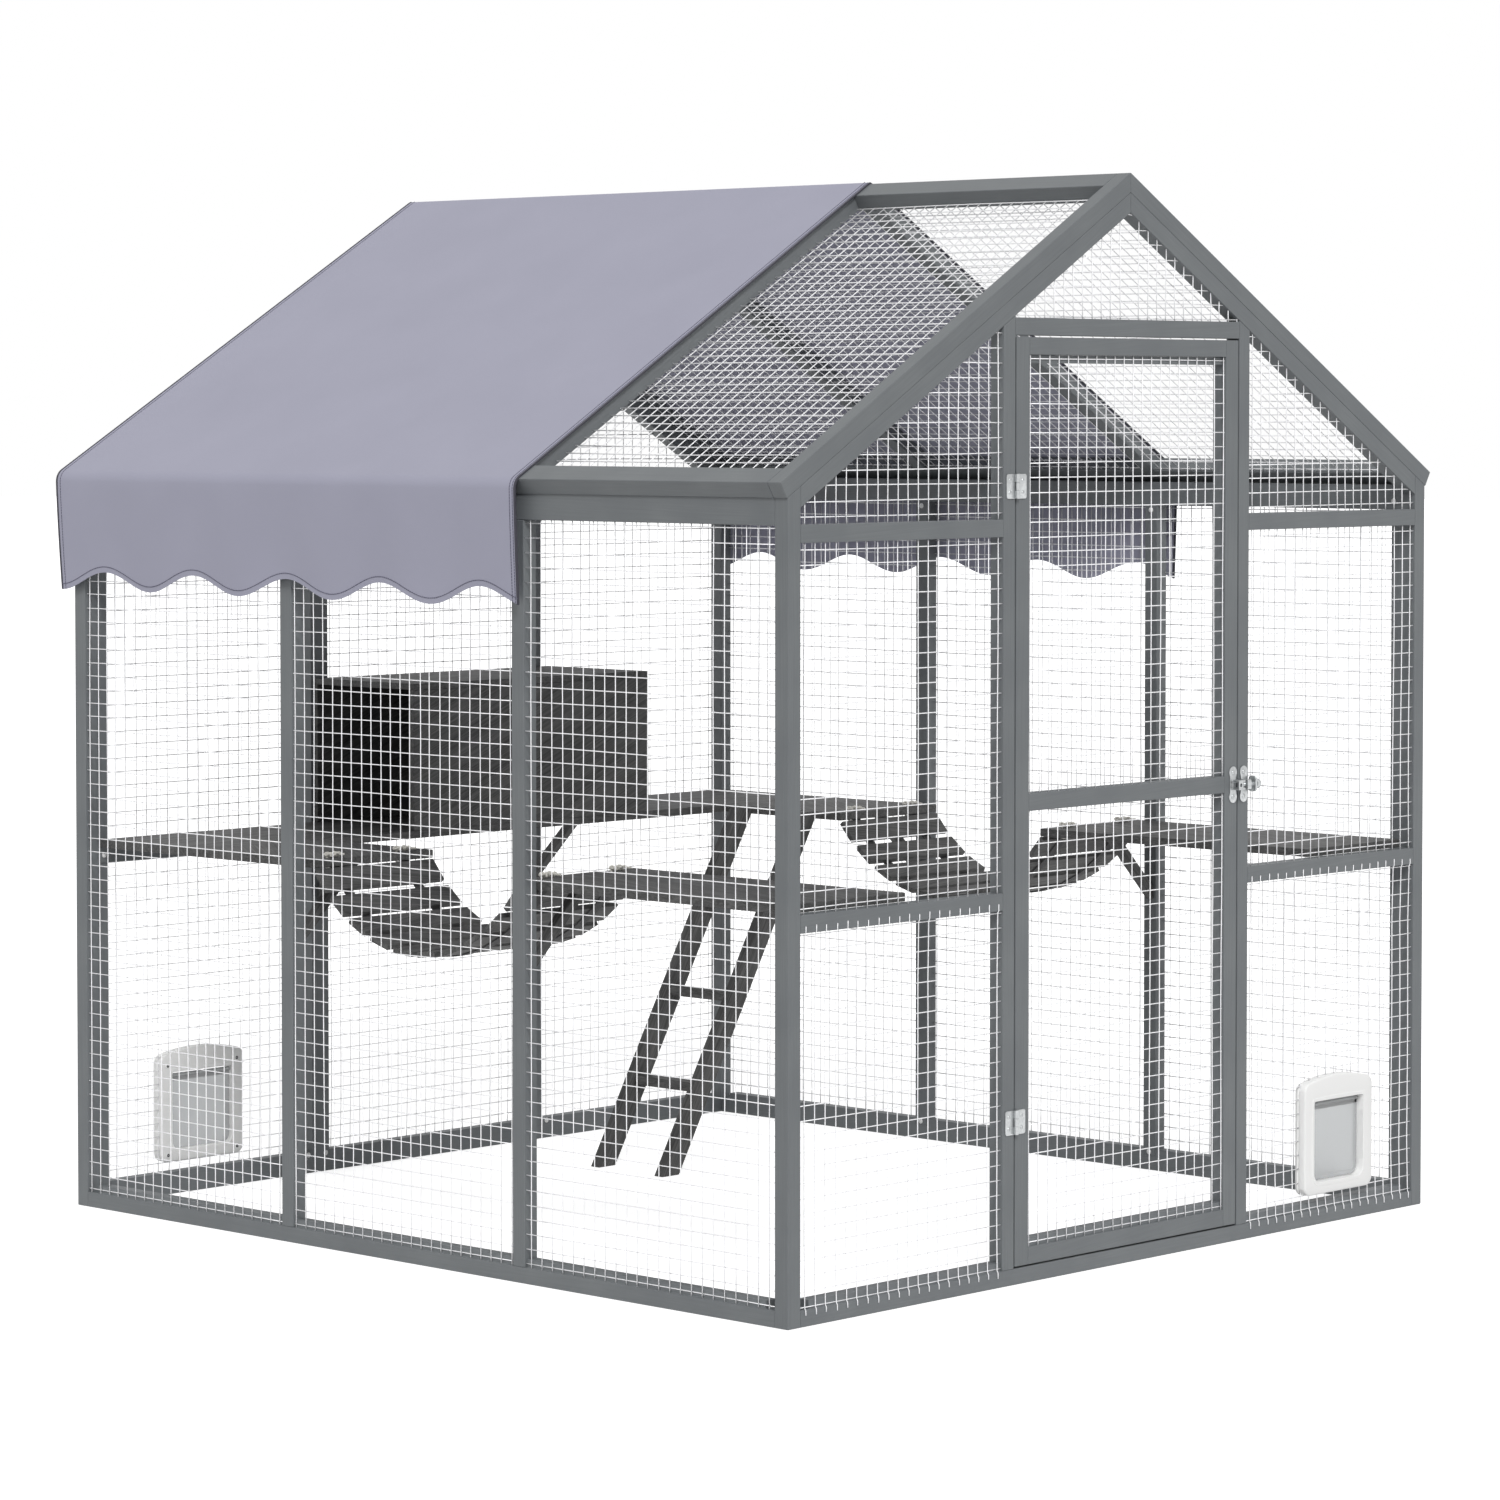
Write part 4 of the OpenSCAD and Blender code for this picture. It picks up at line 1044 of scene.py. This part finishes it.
@dataclass
class DoorHinge:
    """Two flat hinges on the front faces of the post and the door."""

    x: float = -307.5
    y: float = -919.0
    heights: tuple[float, float] = (280.0, 1367.0)
    tall: float = 42.0
    wide: float = 26.0
    thick: float = 2.0
    knuckle: float = 4.0
    pin: float = 2.0
    gap: float = 0.3
    screw_out: float = 17.0
    screw_rise: float = 10.5

    def leaf(self, shape: Shape, z: float, side: int, spans: Outline) -> None:
        """Adds a leaf plate to one side of the pin, with its knuckles and screws.

        Args:
            shape: The piece to add to.
            z: Height of the hinge's middle.
            side: 1 for the door's leaf, -1 for the post's.
            spans: Low and high ends of its knuckles.
        """
        front, r = FACE_Y - self.thick, self.knuckle
        width = self.wide - r - self.gap
        middle = side * (r + self.gap + width / 2)
        outer, inner = 4.0, 0.6
        radii = (outer, outer, inner, inner) if side > 0 else (inner, inner, outer, outer)
        outline = [(middle + x, y) for x, y in rounded_box(width, self.tall, radii)]
        shape.plate(outline, -self.thick, 0, placing((self.x, front, z), FRONT), 0.4)
        for low, high in spans:
            h = high - low
            profile = [(2.1, 0), (r - 0.3, 0), (r, 0.3), (r, h - 0.3), (r - 0.3, h), (2.1, h)]
            shape.turned(profile, placing((self.x, self.y, z + low), UP, REAR), 28)
            x0, x1 = sorted((self.x, self.x + side * (r + 0.6)))
            shape.box((x0, front, z + low + 0.2), (x1, FACE_Y - 0.1, z + high - 0.2), 0.3)
        for dz in (-self.screw_rise, self.screw_rise):
            shape.screw(placing((self.x + side * self.screw_out, front, z + dz), FRONT), 3.5, 1.0)

    def build(self) -> None:
        """Builds leaves and pins."""
        third = self.tall / 6
        door, post, pins = Shape("door_hinge_plates"), Shape("post_hinge_plates"), Shape("hinge_pin_rods")
        h, r, k = self.tall, self.pin, self.knuckle
        head = [(k - 0.4, h + 0.1), (k, h + 0.5), (k * 0.8, h + 1.2), (0, h + 1.5)]
        for z in self.heights:
            self.leaf(door, z, 1, [(-third + self.gap, third - self.gap)])
            self.leaf(post, z, -1, [(-h / 2, -third), (third, h / 2)])
            foot = placing((self.x, self.y, z - h / 2), UP, REAR)
            pins.turned([(0, 0), (r - 0.3, 0), (r, 0.3), (r, h), *head], foot, 28)
        door.finish(STEEL, "door", ["door_hinge_leaves"], 30)
        post.finish(STEEL, "enclosure", ["post_hinge_leaves"], 30)
        pins.finish(STEEL, "enclosure", ["hinge_pins"], 40)


@dataclass
class DoorLatch:
    """A sliding bolt latch: keeper on the door, guide on the post, bolt with a grip plate and knob."""

    z: float = 825.0
    keeper_x: float = 293.0
    post_x: float = 324.0
    bolt_x: float = 307.0
    bolt_y: float = -926.0
    arms_x: tuple[float, float] = (288.0, 306.0)
    boss_x: float = 294.0
    guide_x: float = 313.0
    block: float = 18.0
    grip: tuple[float, float] = (17.2, 28.0)
    lobe: float = 11.0
    lobe_rise: float = 22.0
    waist: float = 8.6
    waist_half: float = 12.0

    def plate(self, shape: Shape, x: float) -> None:
        """Adds a plate with a round lobe and a screw at each end, and a narrower waist."""
        w, h = self.waist, self.waist_half
        outline = [
            *arc((0, self.lobe_rise), self.lobe, -30, 240, 12), (-w, h), (-w, -h),
            *arc((0, -self.lobe_rise), self.lobe, 150, 240, 12), (w, -h), (w, h),
        ]  # fmt: skip
        shape.plate(outline, 0, 2, placing((x, FACE_Y, self.z), FRONT), 0.5)
        for dz in (-self.lobe_rise, self.lobe_rise):
            shape.screw(placing((x, FACE_Y - 2, self.z + dz), FRONT), 4.6, 1.6)

    def keeper(self) -> None:
        """Builds the keeper: a channel with two arms and a boss over its closed end."""
        shape = Shape("latch_keeper_fitting")
        self.plate(shape, self.keeper_x)
        half, arm, (x0, x1) = self.block / 2, 4.6, self.arms_x
        y0, y1 = self.bolt_y - half, self.bolt_y + half
        for low, high in ((arm, half), (-half, -arm)):
            shape.box((x0, y0, self.z + low), (x1, y1, self.z + high), 0.8)
        hole, boss = 3.2, rounded_box(12, self.block, 3)
        levels = ((0, 0, 0), (3.4, 0, 0), (4.2, 0.7, 0), (4.2, 0, hole + 0.5), (3.8, 0, hole), (0, 0, hole))
        shape.bored(boss, levels, placing((self.boss_x, y0 + 4.4, self.z), FRONT))
        shape.finish(STEEL, "door", ["latch_keeper"], 30)

    def guide(self, bore: float = 4.1, deep: float = 11.0, ease: float = 0.7) -> None:
        """Builds the post's plate with the bored guide block."""
        shape = Shape("latch_guide_fitting")
        self.plate(shape, self.post_x)
        levels = ((ease, 0, 0), (0, ease, 0), (0, 0, bore), (deep, 0, bore), (deep, ease, 0), (deep - ease, 0, 0))
        place = placing((self.guide_x, self.bolt_y, self.z), RIGHT)
        shape.bored(rounded_box(self.block, self.block, 2.5), levels, place)
        shape.finish(STEEL, "enclosure", ["latch_body"], 30)

    def bolt(self) -> None:
        """Builds the bolt with its grip plate and knob."""
        shape = Shape("latch_bolt_fitting")
        axis = placing((self.bolt_x, self.bolt_y, self.z), RIGHT)
        shape.turned([(0, 0), (2.6, 0), (3.6, 0.5), (4, 1.6), (4, 30), (0, 30)], axis, 28)
        shape.plate(rounded_box(*self.grip, 5), 29.5, 33.5, axis, 0.8)
        knob = [
            (5.6, 33.4), (5.6, 36.0), (8.0, 37.0), (8.7, 38.2), (8.7, 44.8), (8.0, 46.4), (6.3, 47.3),
            (4.0, 47.4), (3.6, 45.6), (0, 45.3),
        ]  # fmt: skip
        shape.turned(knob, axis, 32)
        shape.finish(STEEL, "latch_bolt", ["latch_bolt"], 30)

    def build(self) -> None:
        """Builds the whole latch."""
        self.keeper()
        self.guide()
        self.bolt()


# ---------------------------------------------------------------- pet flap


@dataclass
class PetFlap:
    """A moulded flap unit: an arched frame on both sides of the mesh, a clear leaf and its pin."""

    name: str
    x: float
    outwards: int
    window: float = 150.0
    middle: float = FLAP_MIDDLE
    wide: float = 206.0
    low: float = 58.0
    high: float = 275.0
    arch: float = 14.0
    foot: float = 17.0
    shoulder: float = 15.0
    front: float = 16.0
    back: float = 9.0
    axis_z: float = 223.0
    leaf_wide: float = 147.0
    leaf_low: float = 82.0
    knuckle_half: float = 73.5
    pin_half: float = 77.8
    screw_x: float = 86.0
    screw_z: tuple[float, float] = (71.0, 243.0)

    def place(self) -> Matrix:
        """The unit's own axes, with the third one outwards, on its window's middle."""
        return placing((self.x, self.outwards * MESH_Y, self.middle), (0, self.outwards, 0))

    def outline(self) -> Outline:
        """Outer outline with rounded feet and shoulders and an arched head, about the window's middle."""
        half, foot = self.wide / 2, self.foot
        radius = (half**2 + self.arch**2) / (2 * self.arch)
        top, base = self.high - self.middle, self.low - self.middle
        spread = asin(half / radius) - self.shoulder / radius
        turns = [spread * (1 - 2 * k / 24) for k in range(25)]
        head = [(radius * sin(a), top - radius + radius * cos(a)) for a in turns]
        corner, side = (half, top - self.arch), (half, top - self.arch - self.shoulder)
        bend = []
        for t in (0.0, 0.2, 0.4, 0.6, 0.8):
            shares = ((1 - t) ** 2, 2 * t * (1 - t), t**2)
            bend.append(tuple(sum(w * p[i] for w, p in zip(shares, (side, corner, head[0]))) for i in (0, 1)))
        feet = [arc((s * (half - foot), base + foot), foot, start, 90, 6) for s, start in ((1, -90), (-1, 180))]
        return feet[0] + bend + head + [(-x, z) for x, z in reversed(bend)] + feet[1]

    def frame(self) -> None:
        """Builds the frame as one ring of section lines round the window, with screws on its back."""
        window = rounded_box(self.window, self.window, (18, 5, 5, 18))
        outer = self.outline()
        corners = {round(atan2(y, x), 4) for x, y in [*window, *outer]}
        angles = sorted(corners | {round(-pi + pi * k / 60, 4) for k in range(120)})
        d, b = self.front, self.back
        section = [
            (0.0, 0.0, d - 0.7), (0.0, 0.7, d), (0.0, 7.0, d), (0.0, 7.6, d - 0.6), (1.0, -3.2, d - 0.6),
            (1.0, -2.6, d - 0.8), (1.0, -0.9, d - 1.5), (1.0, 0.0, d - 3.0), (1.0, 0.0, 2.4), (1.0, -3.0, 1.9),
            (1.0, -3.0, -1.9), (1.0, 0.0, -2.4), (1.0, 0.0, 3.0 - b), (1.0, -0.9, 1.5 - b), (1.0, -2.6, 0.8 - b),
            (1.0, -3.2, 0.6 - b), (0.0, 7.6, 0.6 - b), (0.0, 7.0, -b), (0.0, 0.7, -b), (0.0, 0.0, 0.7 - b),
        ]  # fmt: skip
        reaches = [(a, reach(window, a), reach(outer, a)) for a in angles]
        rings = []
        for share, more, depth in section:
            radii = [(a, near * (1 - share) + far * share + more) for a, near, far in reaches]
            rings.append([(r * cos(a), r * sin(a), depth) for a, r in radii])
        shape, screws = Shape(f"{self.name}_moulding"), Shape(f"{self.name}_screws")
        shape.skin(rings, looped=True, smooth=False, place=self.place())
        socket = [(0, -0.4), (5.2, -0.4), (5.2, 0.5), (4.6, 1.0), (3.7, 1.0), (3.4, 0.6)]
        for side in (-1, 1):
            for z in self.screw_z:
                spot = shifted(side * self.screw_x, z - self.middle, 0.7 - b) @ Matrix.Rotation(pi, 4, "Y")
                shape.turned(socket, self.place() @ spot)
                screws.screw(self.place() @ spot @ shifted(0, 0, 0.2), 3.2, 1.0)
        shape.finish(WHITE, "enclosure", [f"{self.name}_frame"], 40)
        screws.finish(OXIDE, "enclosure", crease=30)

    def leaf(self) -> None:
        """Builds the clear leaf with rounded feet and a thicker rim, its knuckle and the pin."""
        low, high = self.leaf_low - self.middle, self.axis_z - 2.6 - self.middle
        box = rounded_box(self.leaf_wide, high - low, (17, 1, 1, 17))
        outline = [(x, (low + high) / 2 + y) for x, y in box]
        levels = ((0.5, -1.5), (0, -1.0), (0, 1.0), (0.5, 1.5), (7.0, 1.5), (7.8, 0.9))
        shape, rod = Shape(f"{self.name}_leaf"), Shape(f"{self.name}_rod")
        rings = [[(x, y, h) for x, y in inset(outline, by)] for by, h in levels]
        shape.skin(rings, smooth=False, place=self.place())
        axis = self.place() @ shifted(0, self.axis_z - self.middle, 0) @ Matrix.Rotation(pi / 2, 4, "Y")
        h, e = self.knuckle_half, 0.4
        shape.turned([(2.1, -h), (3.6, -h), (4, e - h), (4, h - e), (3.6, h), (2.1, h)], axis)
        shape.finish(CLEAR, self.name, [self.name], 30)
        h, e = self.pin_half, 0.3
        rod.turned([(0, -h), (1.7, -h), (2, e - h), (2, h - e), (1.7, h), (0, h)], axis, 20)
        rod.finish(STEEL, "enclosure", [f"{self.name}_pin"], 40)

    def build(self) -> None:
        """Builds the whole unit."""
        self.frame()
        self.leaf()


# ---------------------------------------------------------------- straps and ties

# Two straps under each of the bridges, whose middles are 700 mm from the enclosure's.
STRAP_ROWS = (-785.0, -615.0, 615.0, 785.0)


@dataclass
class BridgeStraps:
    """Webbing under the slats and both shelf ends of each bridge."""

    bridge_y: float = 15.0
    centre_z: float = 865.0
    radius: float = 330.0
    angle: float = 10.94
    slats: int = 10
    slat_wide: float = 47.5
    wide: float = 23.0
    thick: float = 2.0
    rim: float = 0.8
    gap: float = 0.25
    shelf_ends: tuple[float, float] = (-245.0, 275.0)
    holds: tuple[float, ...] = (12.5, 24.0, 36.0)

    def line(self, depth: float) -> Outline:
        """The strap's path at a depth under the slats, as (y, z) points."""
        front, rear = self.shelf_ends
        points = [(front - hold, SHELF_LOW - depth) for hold in reversed(self.holds)]
        r = self.radius + depth
        for i in range(self.slats):
            turn = radians((i - (self.slats - 1) / 2) * self.angle)
            for w in (-self.slat_wide / 2, 0, self.slat_wide / 2):
                y = self.bridge_y + r * sin(turn) + w * cos(turn)
                points.append((y, self.centre_z - r * cos(turn) + w * sin(turn)))
        return points + [(rear + hold, SHELF_LOW - depth) for hold in self.holds]

    def build(self) -> None:
        """Builds all four straps with their woven edges."""
        shape = Shape("bridge_webbing")
        top, under = self.line(self.gap), self.line(self.gap + self.thick)
        half, rim = self.wide / 2, self.rim
        for x in STRAP_ROWS:
            run, rings, grain = 0.0, [], []
            for i, (a, b) in enumerate(zip(top, under)):
                run += dist(top[i - 1], a) if i else 0.0
                mid = ((a[0] + b[0]) / 2, (a[1] + b[1]) / 2)
                edge = half - rim
                section = [(-half, mid), (-edge, a), (edge, a), (half, mid), (edge, b), (-edge, b)]
                rings.append([(x + dx, *p) for dx, p in section])
                grain += [(run, dx, 0) for dx, _ in section]
            shape.skin(rings, smooth=False, grain=grain)
        shape.finish(WEBBING, "enclosure", ["bridge_straps"])


@dataclass
class BridgeTies:
    """Twisted white ropes that tie the straps to the shelf ends, each with a small bow on top."""

    rows: tuple[float, float] = (293.0, -263.0)
    leg: float = 15.2
    bend: float = 3.0
    rope: float = 4.4
    low: float = 670.1
    high: float = 692.3
    lay: float = 13.0
    seed: int = 3

    def twist(self, shape: Shape, points: Sequence[Point], looped: bool) -> None:
        """Lays three strands round a path, open or looped."""
        path, fine, count = [Vector(p) for p in points], [], len(points)
        for i in range(count if looped else count - 1):
            a, b = path[i], path[(i + 1) % count]
            pieces = max(1, round((b - a).length / 1.6))
            fine += [a.lerp(b, k / pieces) for k in range(pieces)]
        if not looped:
            fine.append(path[-1])
        n, runs = len(fine), [0.0]
        for i in range(n if looped else n - 1):
            runs.append(runs[-1] + (fine[(i + 1) % n] - fine[i]).length)
        total, r = runs[-1], self.rope / 4
        turns = max(1, round(total / self.lay)) if looped else total / self.lay
        for strand in range(3):
            line = []
            for (p, u, v), run in zip(carried(fine, looped), runs):
                a = 2 * pi * (run / total * turns + strand / 3)
                line.append(p + r * 1.05 * (cos(a) * u + sin(a) * v))
            shape.rod(line, r * 1.08, 5, looped)

    def ring(self, x: float, y: float) -> list[Point]:
        """The rope's loop round shelf end and strap."""
        r, w = self.bend, self.leg - self.bend
        top, base = self.high - r, self.low + r
        corners = ((w, top, 0), (-w, top, 90), (-w, base, 180), (w, base, 270))
        return [(x + u, y, v) for cx, cz, start in corners for u, v in arc((cx, cz), r, start, 90, 4)]

    def bow(self, shape: Shape, x: float, y: float, luck: random.Random) -> None:
        """Adds the knot, two loops and two loose ends on top of the shelf."""
        z = self.high + self.rope / 2
        knot = []
        for a in (4 * pi * k / 26 for k in range(26)):
            knot.append((x + 3.6 * sin(a) + 1.2 * sin(a / 2), y + 2.6 * cos(a), z + 1.2 + 1.7 * sin(1.5 * a)))
        self.twist(shape, knot, True)
        for side in (-1, 1):
            spread, long = luck.uniform(5, 8), luck.uniform(15, 19)
            loop, tail = [], []
            for a in (2 * pi * k / 14 for k in range(15)):
                out = (1 - cos(a)) / 2
                rise = z + 0.6 + 4.5 * sin(pi * out) * (1 - 0.55 * out)
                loop.append((x + side * (2 + long * out), y + spread * sin(a) * 0.9, rise))
            self.twist(shape, loop, False)
            length, turn = luck.uniform(20, 27), luck.uniform(0.5, 1.0) * side
            for t in (k / 9 for k in range(10)):
                back = y - 2 - length * t * cos(turn) * 0.8 + 2.0 * sin(3 * t)
                rise = z + 1.0 + 2.5 * sin(pi * min(1.0, t * 1.4)) * (1 - t) - 0.6 * t
                tail.append((x + side * 1.5 + length * t * sin(turn), back, rise))
            self.twist(shape, tail, False)

    def build(self) -> None:
        """Builds the eight ties."""
        shape = Shape("bridge_rope_ties")
        luck = random.Random(self.seed)
        for x in STRAP_ROWS:
            for y in self.rows:
                self.twist(shape, self.ring(x, y), True)
                self.bow(shape, x, y, luck)
        shape.finish(ROPE, "enclosure", ["bridge_ties"])


# ---------------------------------------------------------------- canopy


@dataclass
class Canopy:
    """A polyester sheet over the rear of the roof, with a scalloped and stitched hem on both sides."""

    front: float = -304.0
    length: float = 1240.0
    bend_x: float = 898.5
    bend_r: float = 24.0
    hem_z: float = 1160.8
    scallop: float = 254.0
    scallop_rise: float = 34.0
    thick: float = 1.3
    off: float = 1.35
    sag: float = 1.7
    wave: float = 3.0
    lean: tuple[float, float] = (8.0, 13.0)
    seam_rise: float = 9.5
    front_seams: tuple[float, float] = (7.0, 14.0)
    rear_seam: float = 12.0
    fall_top: float = 1347.0
    columns: int = 250
    flat: tuple[float, float] = (2.522, 1.240)
    area: float = 3.084
    rafters: tuple[float, ...] = (-304.0, -283.0, 317.0, 900.0, 936.0)

    def hem(self, y: float) -> float:
        """Height of the scalloped hem at y."""
        turns = (self.front + self.length - y) / self.scallop
        return self.hem_z + self.scallop_rise * (1 - cos(2 * pi * turns)) / 2

    def hang(self, y: float) -> float:
        """How far outwards of its fold the valance hangs at its hem: it leans in and waves a little."""
        s = y / 1000
        inwards = self.lean[0] + (self.lean[1] - self.lean[0]) * (y - self.front) / self.length
        return self.wave * (0.55 * sin(2 * pi * s * 2.3 + 0.6) + 0.45 * sin(2 * pi * s * 4.7 + 2.0)) - inwards

    def dip(self, u: float, y: float) -> float:
        """How far the sheet sags between the roof members, at a distance u down the slope."""
        for a, b in zip(self.rafters, self.rafters[1:]):
            if a <= y <= b and b - a > 100:
                down = sin(pi * min(1.0, max(0.0, (u - 40) / 960)))
                return self.sag * sin(pi * (y - a) / (b - a)) ** 0.8 * down**0.6
        return 0.0

    def rows(self) -> list[tuple[int, str, float]]:
        """Side, kind and value of each row, hem to hem: slope distance, share of the bend or of the valance."""
        half = [("slope", u) for u in (0, 4, 10, 24, 45, *range(100, 1000, 50), 1000, 1015)]
        half += [("bend", k / 7) for k in range(8)]
        half += [("fall", share) for share in (*(k / 12 for k in range(1, 11)), 0.93, 0.965, 1.0)]
        return [(-1, *row) for row in reversed(half)] + [(1, *row) for row in half[1:]]

    def point(self, row: tuple[int, str, float], y: float, off: float) -> Vector:
        """A point of the sheet.

        Args:
            row: One of rows().
            y: Place along the ridge.
            off: Distance outside the roof's outer face.

        Returns:
            The point.
        """
        side, kind, value = row
        x, r = self.bend_x + off, self.bend_r + off
        turn = pi / 2 - PITCH
        fold = roof_top(x) + off / COS - r * tan(turn / 2)
        if kind == "slope":
            d = off - self.dip(value, y)
            if value == 0:
                return Vector((0.0, y, RIDGE + d / COS - 0.5))
            return Vector((side * (value * COS + d * SIN), y, RIDGE - value * SIN + d * COS))
        if kind == "bend":
            a = turn * (1 - value)
            return Vector((side * (x - r + r * cos(a)), y, fold + r * sin(a)))
        return Vector((side * (x + self.hang(y) * value**1.3), y, fold + (self.hem(y) - fold) * value))

    def sheet(self) -> bpy.types.Object:
        """Builds the sheet, two faces and its rim, from hem to hem."""
        shape, rows = Shape("canopy_sheet"), self.rows()
        n, m = len(rows), self.columns + 1
        faces = [
            (i * n + j, i * n + j + 1, (i + 1) * n + j + 1, (i + 1) * n + j)
            for i in range(m - 1)
            for j in range(n - 1)
        ]
        for off in (self.off - self.thick / 2, self.off + self.thick / 2):
            points, grain = [], []
            for y in (self.front + self.length * i / self.columns for i in range(m)):
                line = [self.point(row, y, off) for row in rows]
                runs = [0.0]
                for a, b in zip(line, line[1:]):
                    runs.append(runs[-1] + (b - a).length)
                points += line
                grain += [(run, y, 0) for run in runs]
            shape.add(points, faces, True, grain=grain)
        rim = [(i, 0) for i in range(m)] + [(m - 1, j) for j in range(1, n)]
        rim += [(i, n - 1) for i in range(m - 2, -1, -1)] + [(0, j) for j in range(n - 2, 0, -1)]
        for (i, j), (k, q) in zip(rim, [*rim[1:], rim[0]]):
            a, b = i * n + j, k * n + q
            shape.faces.append((a, b, n * m + b, n * m + a))
            shape.smooth.append(False)
        return shape.finish(CLOTH, "enclosure", ["canopy"], 50)

    def stitch(self, shape: Shape, line: Sequence[Vector], pitch: float = 5.0, size: float = 3.8) -> None:
        """Lays lockstitches along a line.

        Args:
            shape: The piece to add to.
            line: The seam's path on the outer face.
            pitch: Distance from stitch to stitch.
            size: Visible length of one stitch.
        """
        run, i, goal = 0.0, 0, pitch / 2
        while i < len(line) - 1:
            way = line[i + 1] - line[i]
            step = way.length
            if run + step >= goal:
                at, way = line[i].lerp(line[i + 1], (goal - run) / step), way.normalized() * size
                shape.rod([at - way / 2, at - way * 0.3, at + way * 0.3, at + way / 2], 0.8, 4)
                goal += pitch
            else:
                run += step
                i += 1

    def seams(self) -> list[bpy.types.Object]:
        """Builds the stitching of all four hems and the dark strip wrapped round the front and rear edges."""
        thread, fold = Shape("canopy_stitching"), Shape("canopy_dark_edge_strip")
        off, rear, rows = self.off + self.thick / 2 + 0.1, self.front + self.length, self.rows()
        for side in (-1, 1):
            line = []
            for y in (self.front + 2.0 * i for i in range(int(self.length / 2) + 1)):
                share = 1 - self.seam_rise / (self.fall_top - self.hem(y))
                line.append(self.point((side, "fall", share), y, off))
            self.stitch(thread, line)
        for y in (*(self.front + d for d in self.front_seams), rear - self.rear_seam):
            self.stitch(thread, [self.point(row, y, off) for row in rows])
        for y, way in ((self.front, 1), (rear, -1)):
            section = ((0.25, 4.0), (0.25, -0.5), (2.5, -0.5), (2.5, 4.0))
            rings = []
            for row in rows:
                ring = []
                for high, dy in section:
                    p = self.point(row, y, high)
                    ring.append((p.x, y + way * dy, p.z))
                rings.append(ring)
            fold.skin(rings, smooth=False)
        return [thread.finish(THREAD, "enclosure"), fold.finish(DARK_EDGE_STRIP, "enclosure")]

    def build(self) -> None:
        sheet = self.sheet()
        seams = self.seams()


# ---------------------------------------------------------------- screw caps


@dataclass
class ScrewCaps:
    """Domed white caps over the frame screws, on the inner faces."""

    radius: float = 5.2
    high: float = 3.0
    foot: float = 0.7

    def spots(self) -> list[tuple[Point, Point]]:
        """Place and outward direction of each cap."""
        spots = []
        for s in (-1, 1):
            spots += [((s * x, INNER_Y, z), FRONT) for x, z in ((325, 36), (280, 36), (292, 1272), (832, 660))]
            inwards = [(-283, 36), (-283, BEAM - 9), (317, 36), (317, BEAM - 9), (-866, BEAM + 16)]
            spots += [((s * INNER_X, y, z), (-s, 0.0, 0.0)) for y, z in inwards]
        return spots

    def build(self) -> None:
        """Builds the caps."""
        shape = Shape("domed_screw_caps")
        r, h, foot = self.radius, self.high, self.foot
        dome = [(r * cos(a), foot + (h - foot) * sin(a)) for a in (0.25, 0.55, 0.85, 1.15, 1.4)]
        for at, out in self.spots():
            shape.turned([(r, -0.2), (r, foot), *dome, (0, h)], placing(at, out))
        shape.finish(WHITE, "enclosure", ["screw_caps"], 50)


def main() -> None:
    """Builds the scene in order."""
    logging.basicConfig(level=logging.INFO, format="%(message)s")
    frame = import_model()
    Studio().build()
    Timber(frame["nodes"]).build_all()
    HoldingStrips().build()
    WeldedMesh().build_all()
    DoorHinge().build()
    DoorLatch().build()
    PetFlap("front_flap", FRONT_FLAP_X, -1).build()
    PetFlap("rear_flap", REAR_FLAP_X, 1).build()
    BridgeStraps().build()
    BridgeTies().build()
    ScrewCaps().build()
    Canopy().build()


if __name__ == "__main__":
    main()
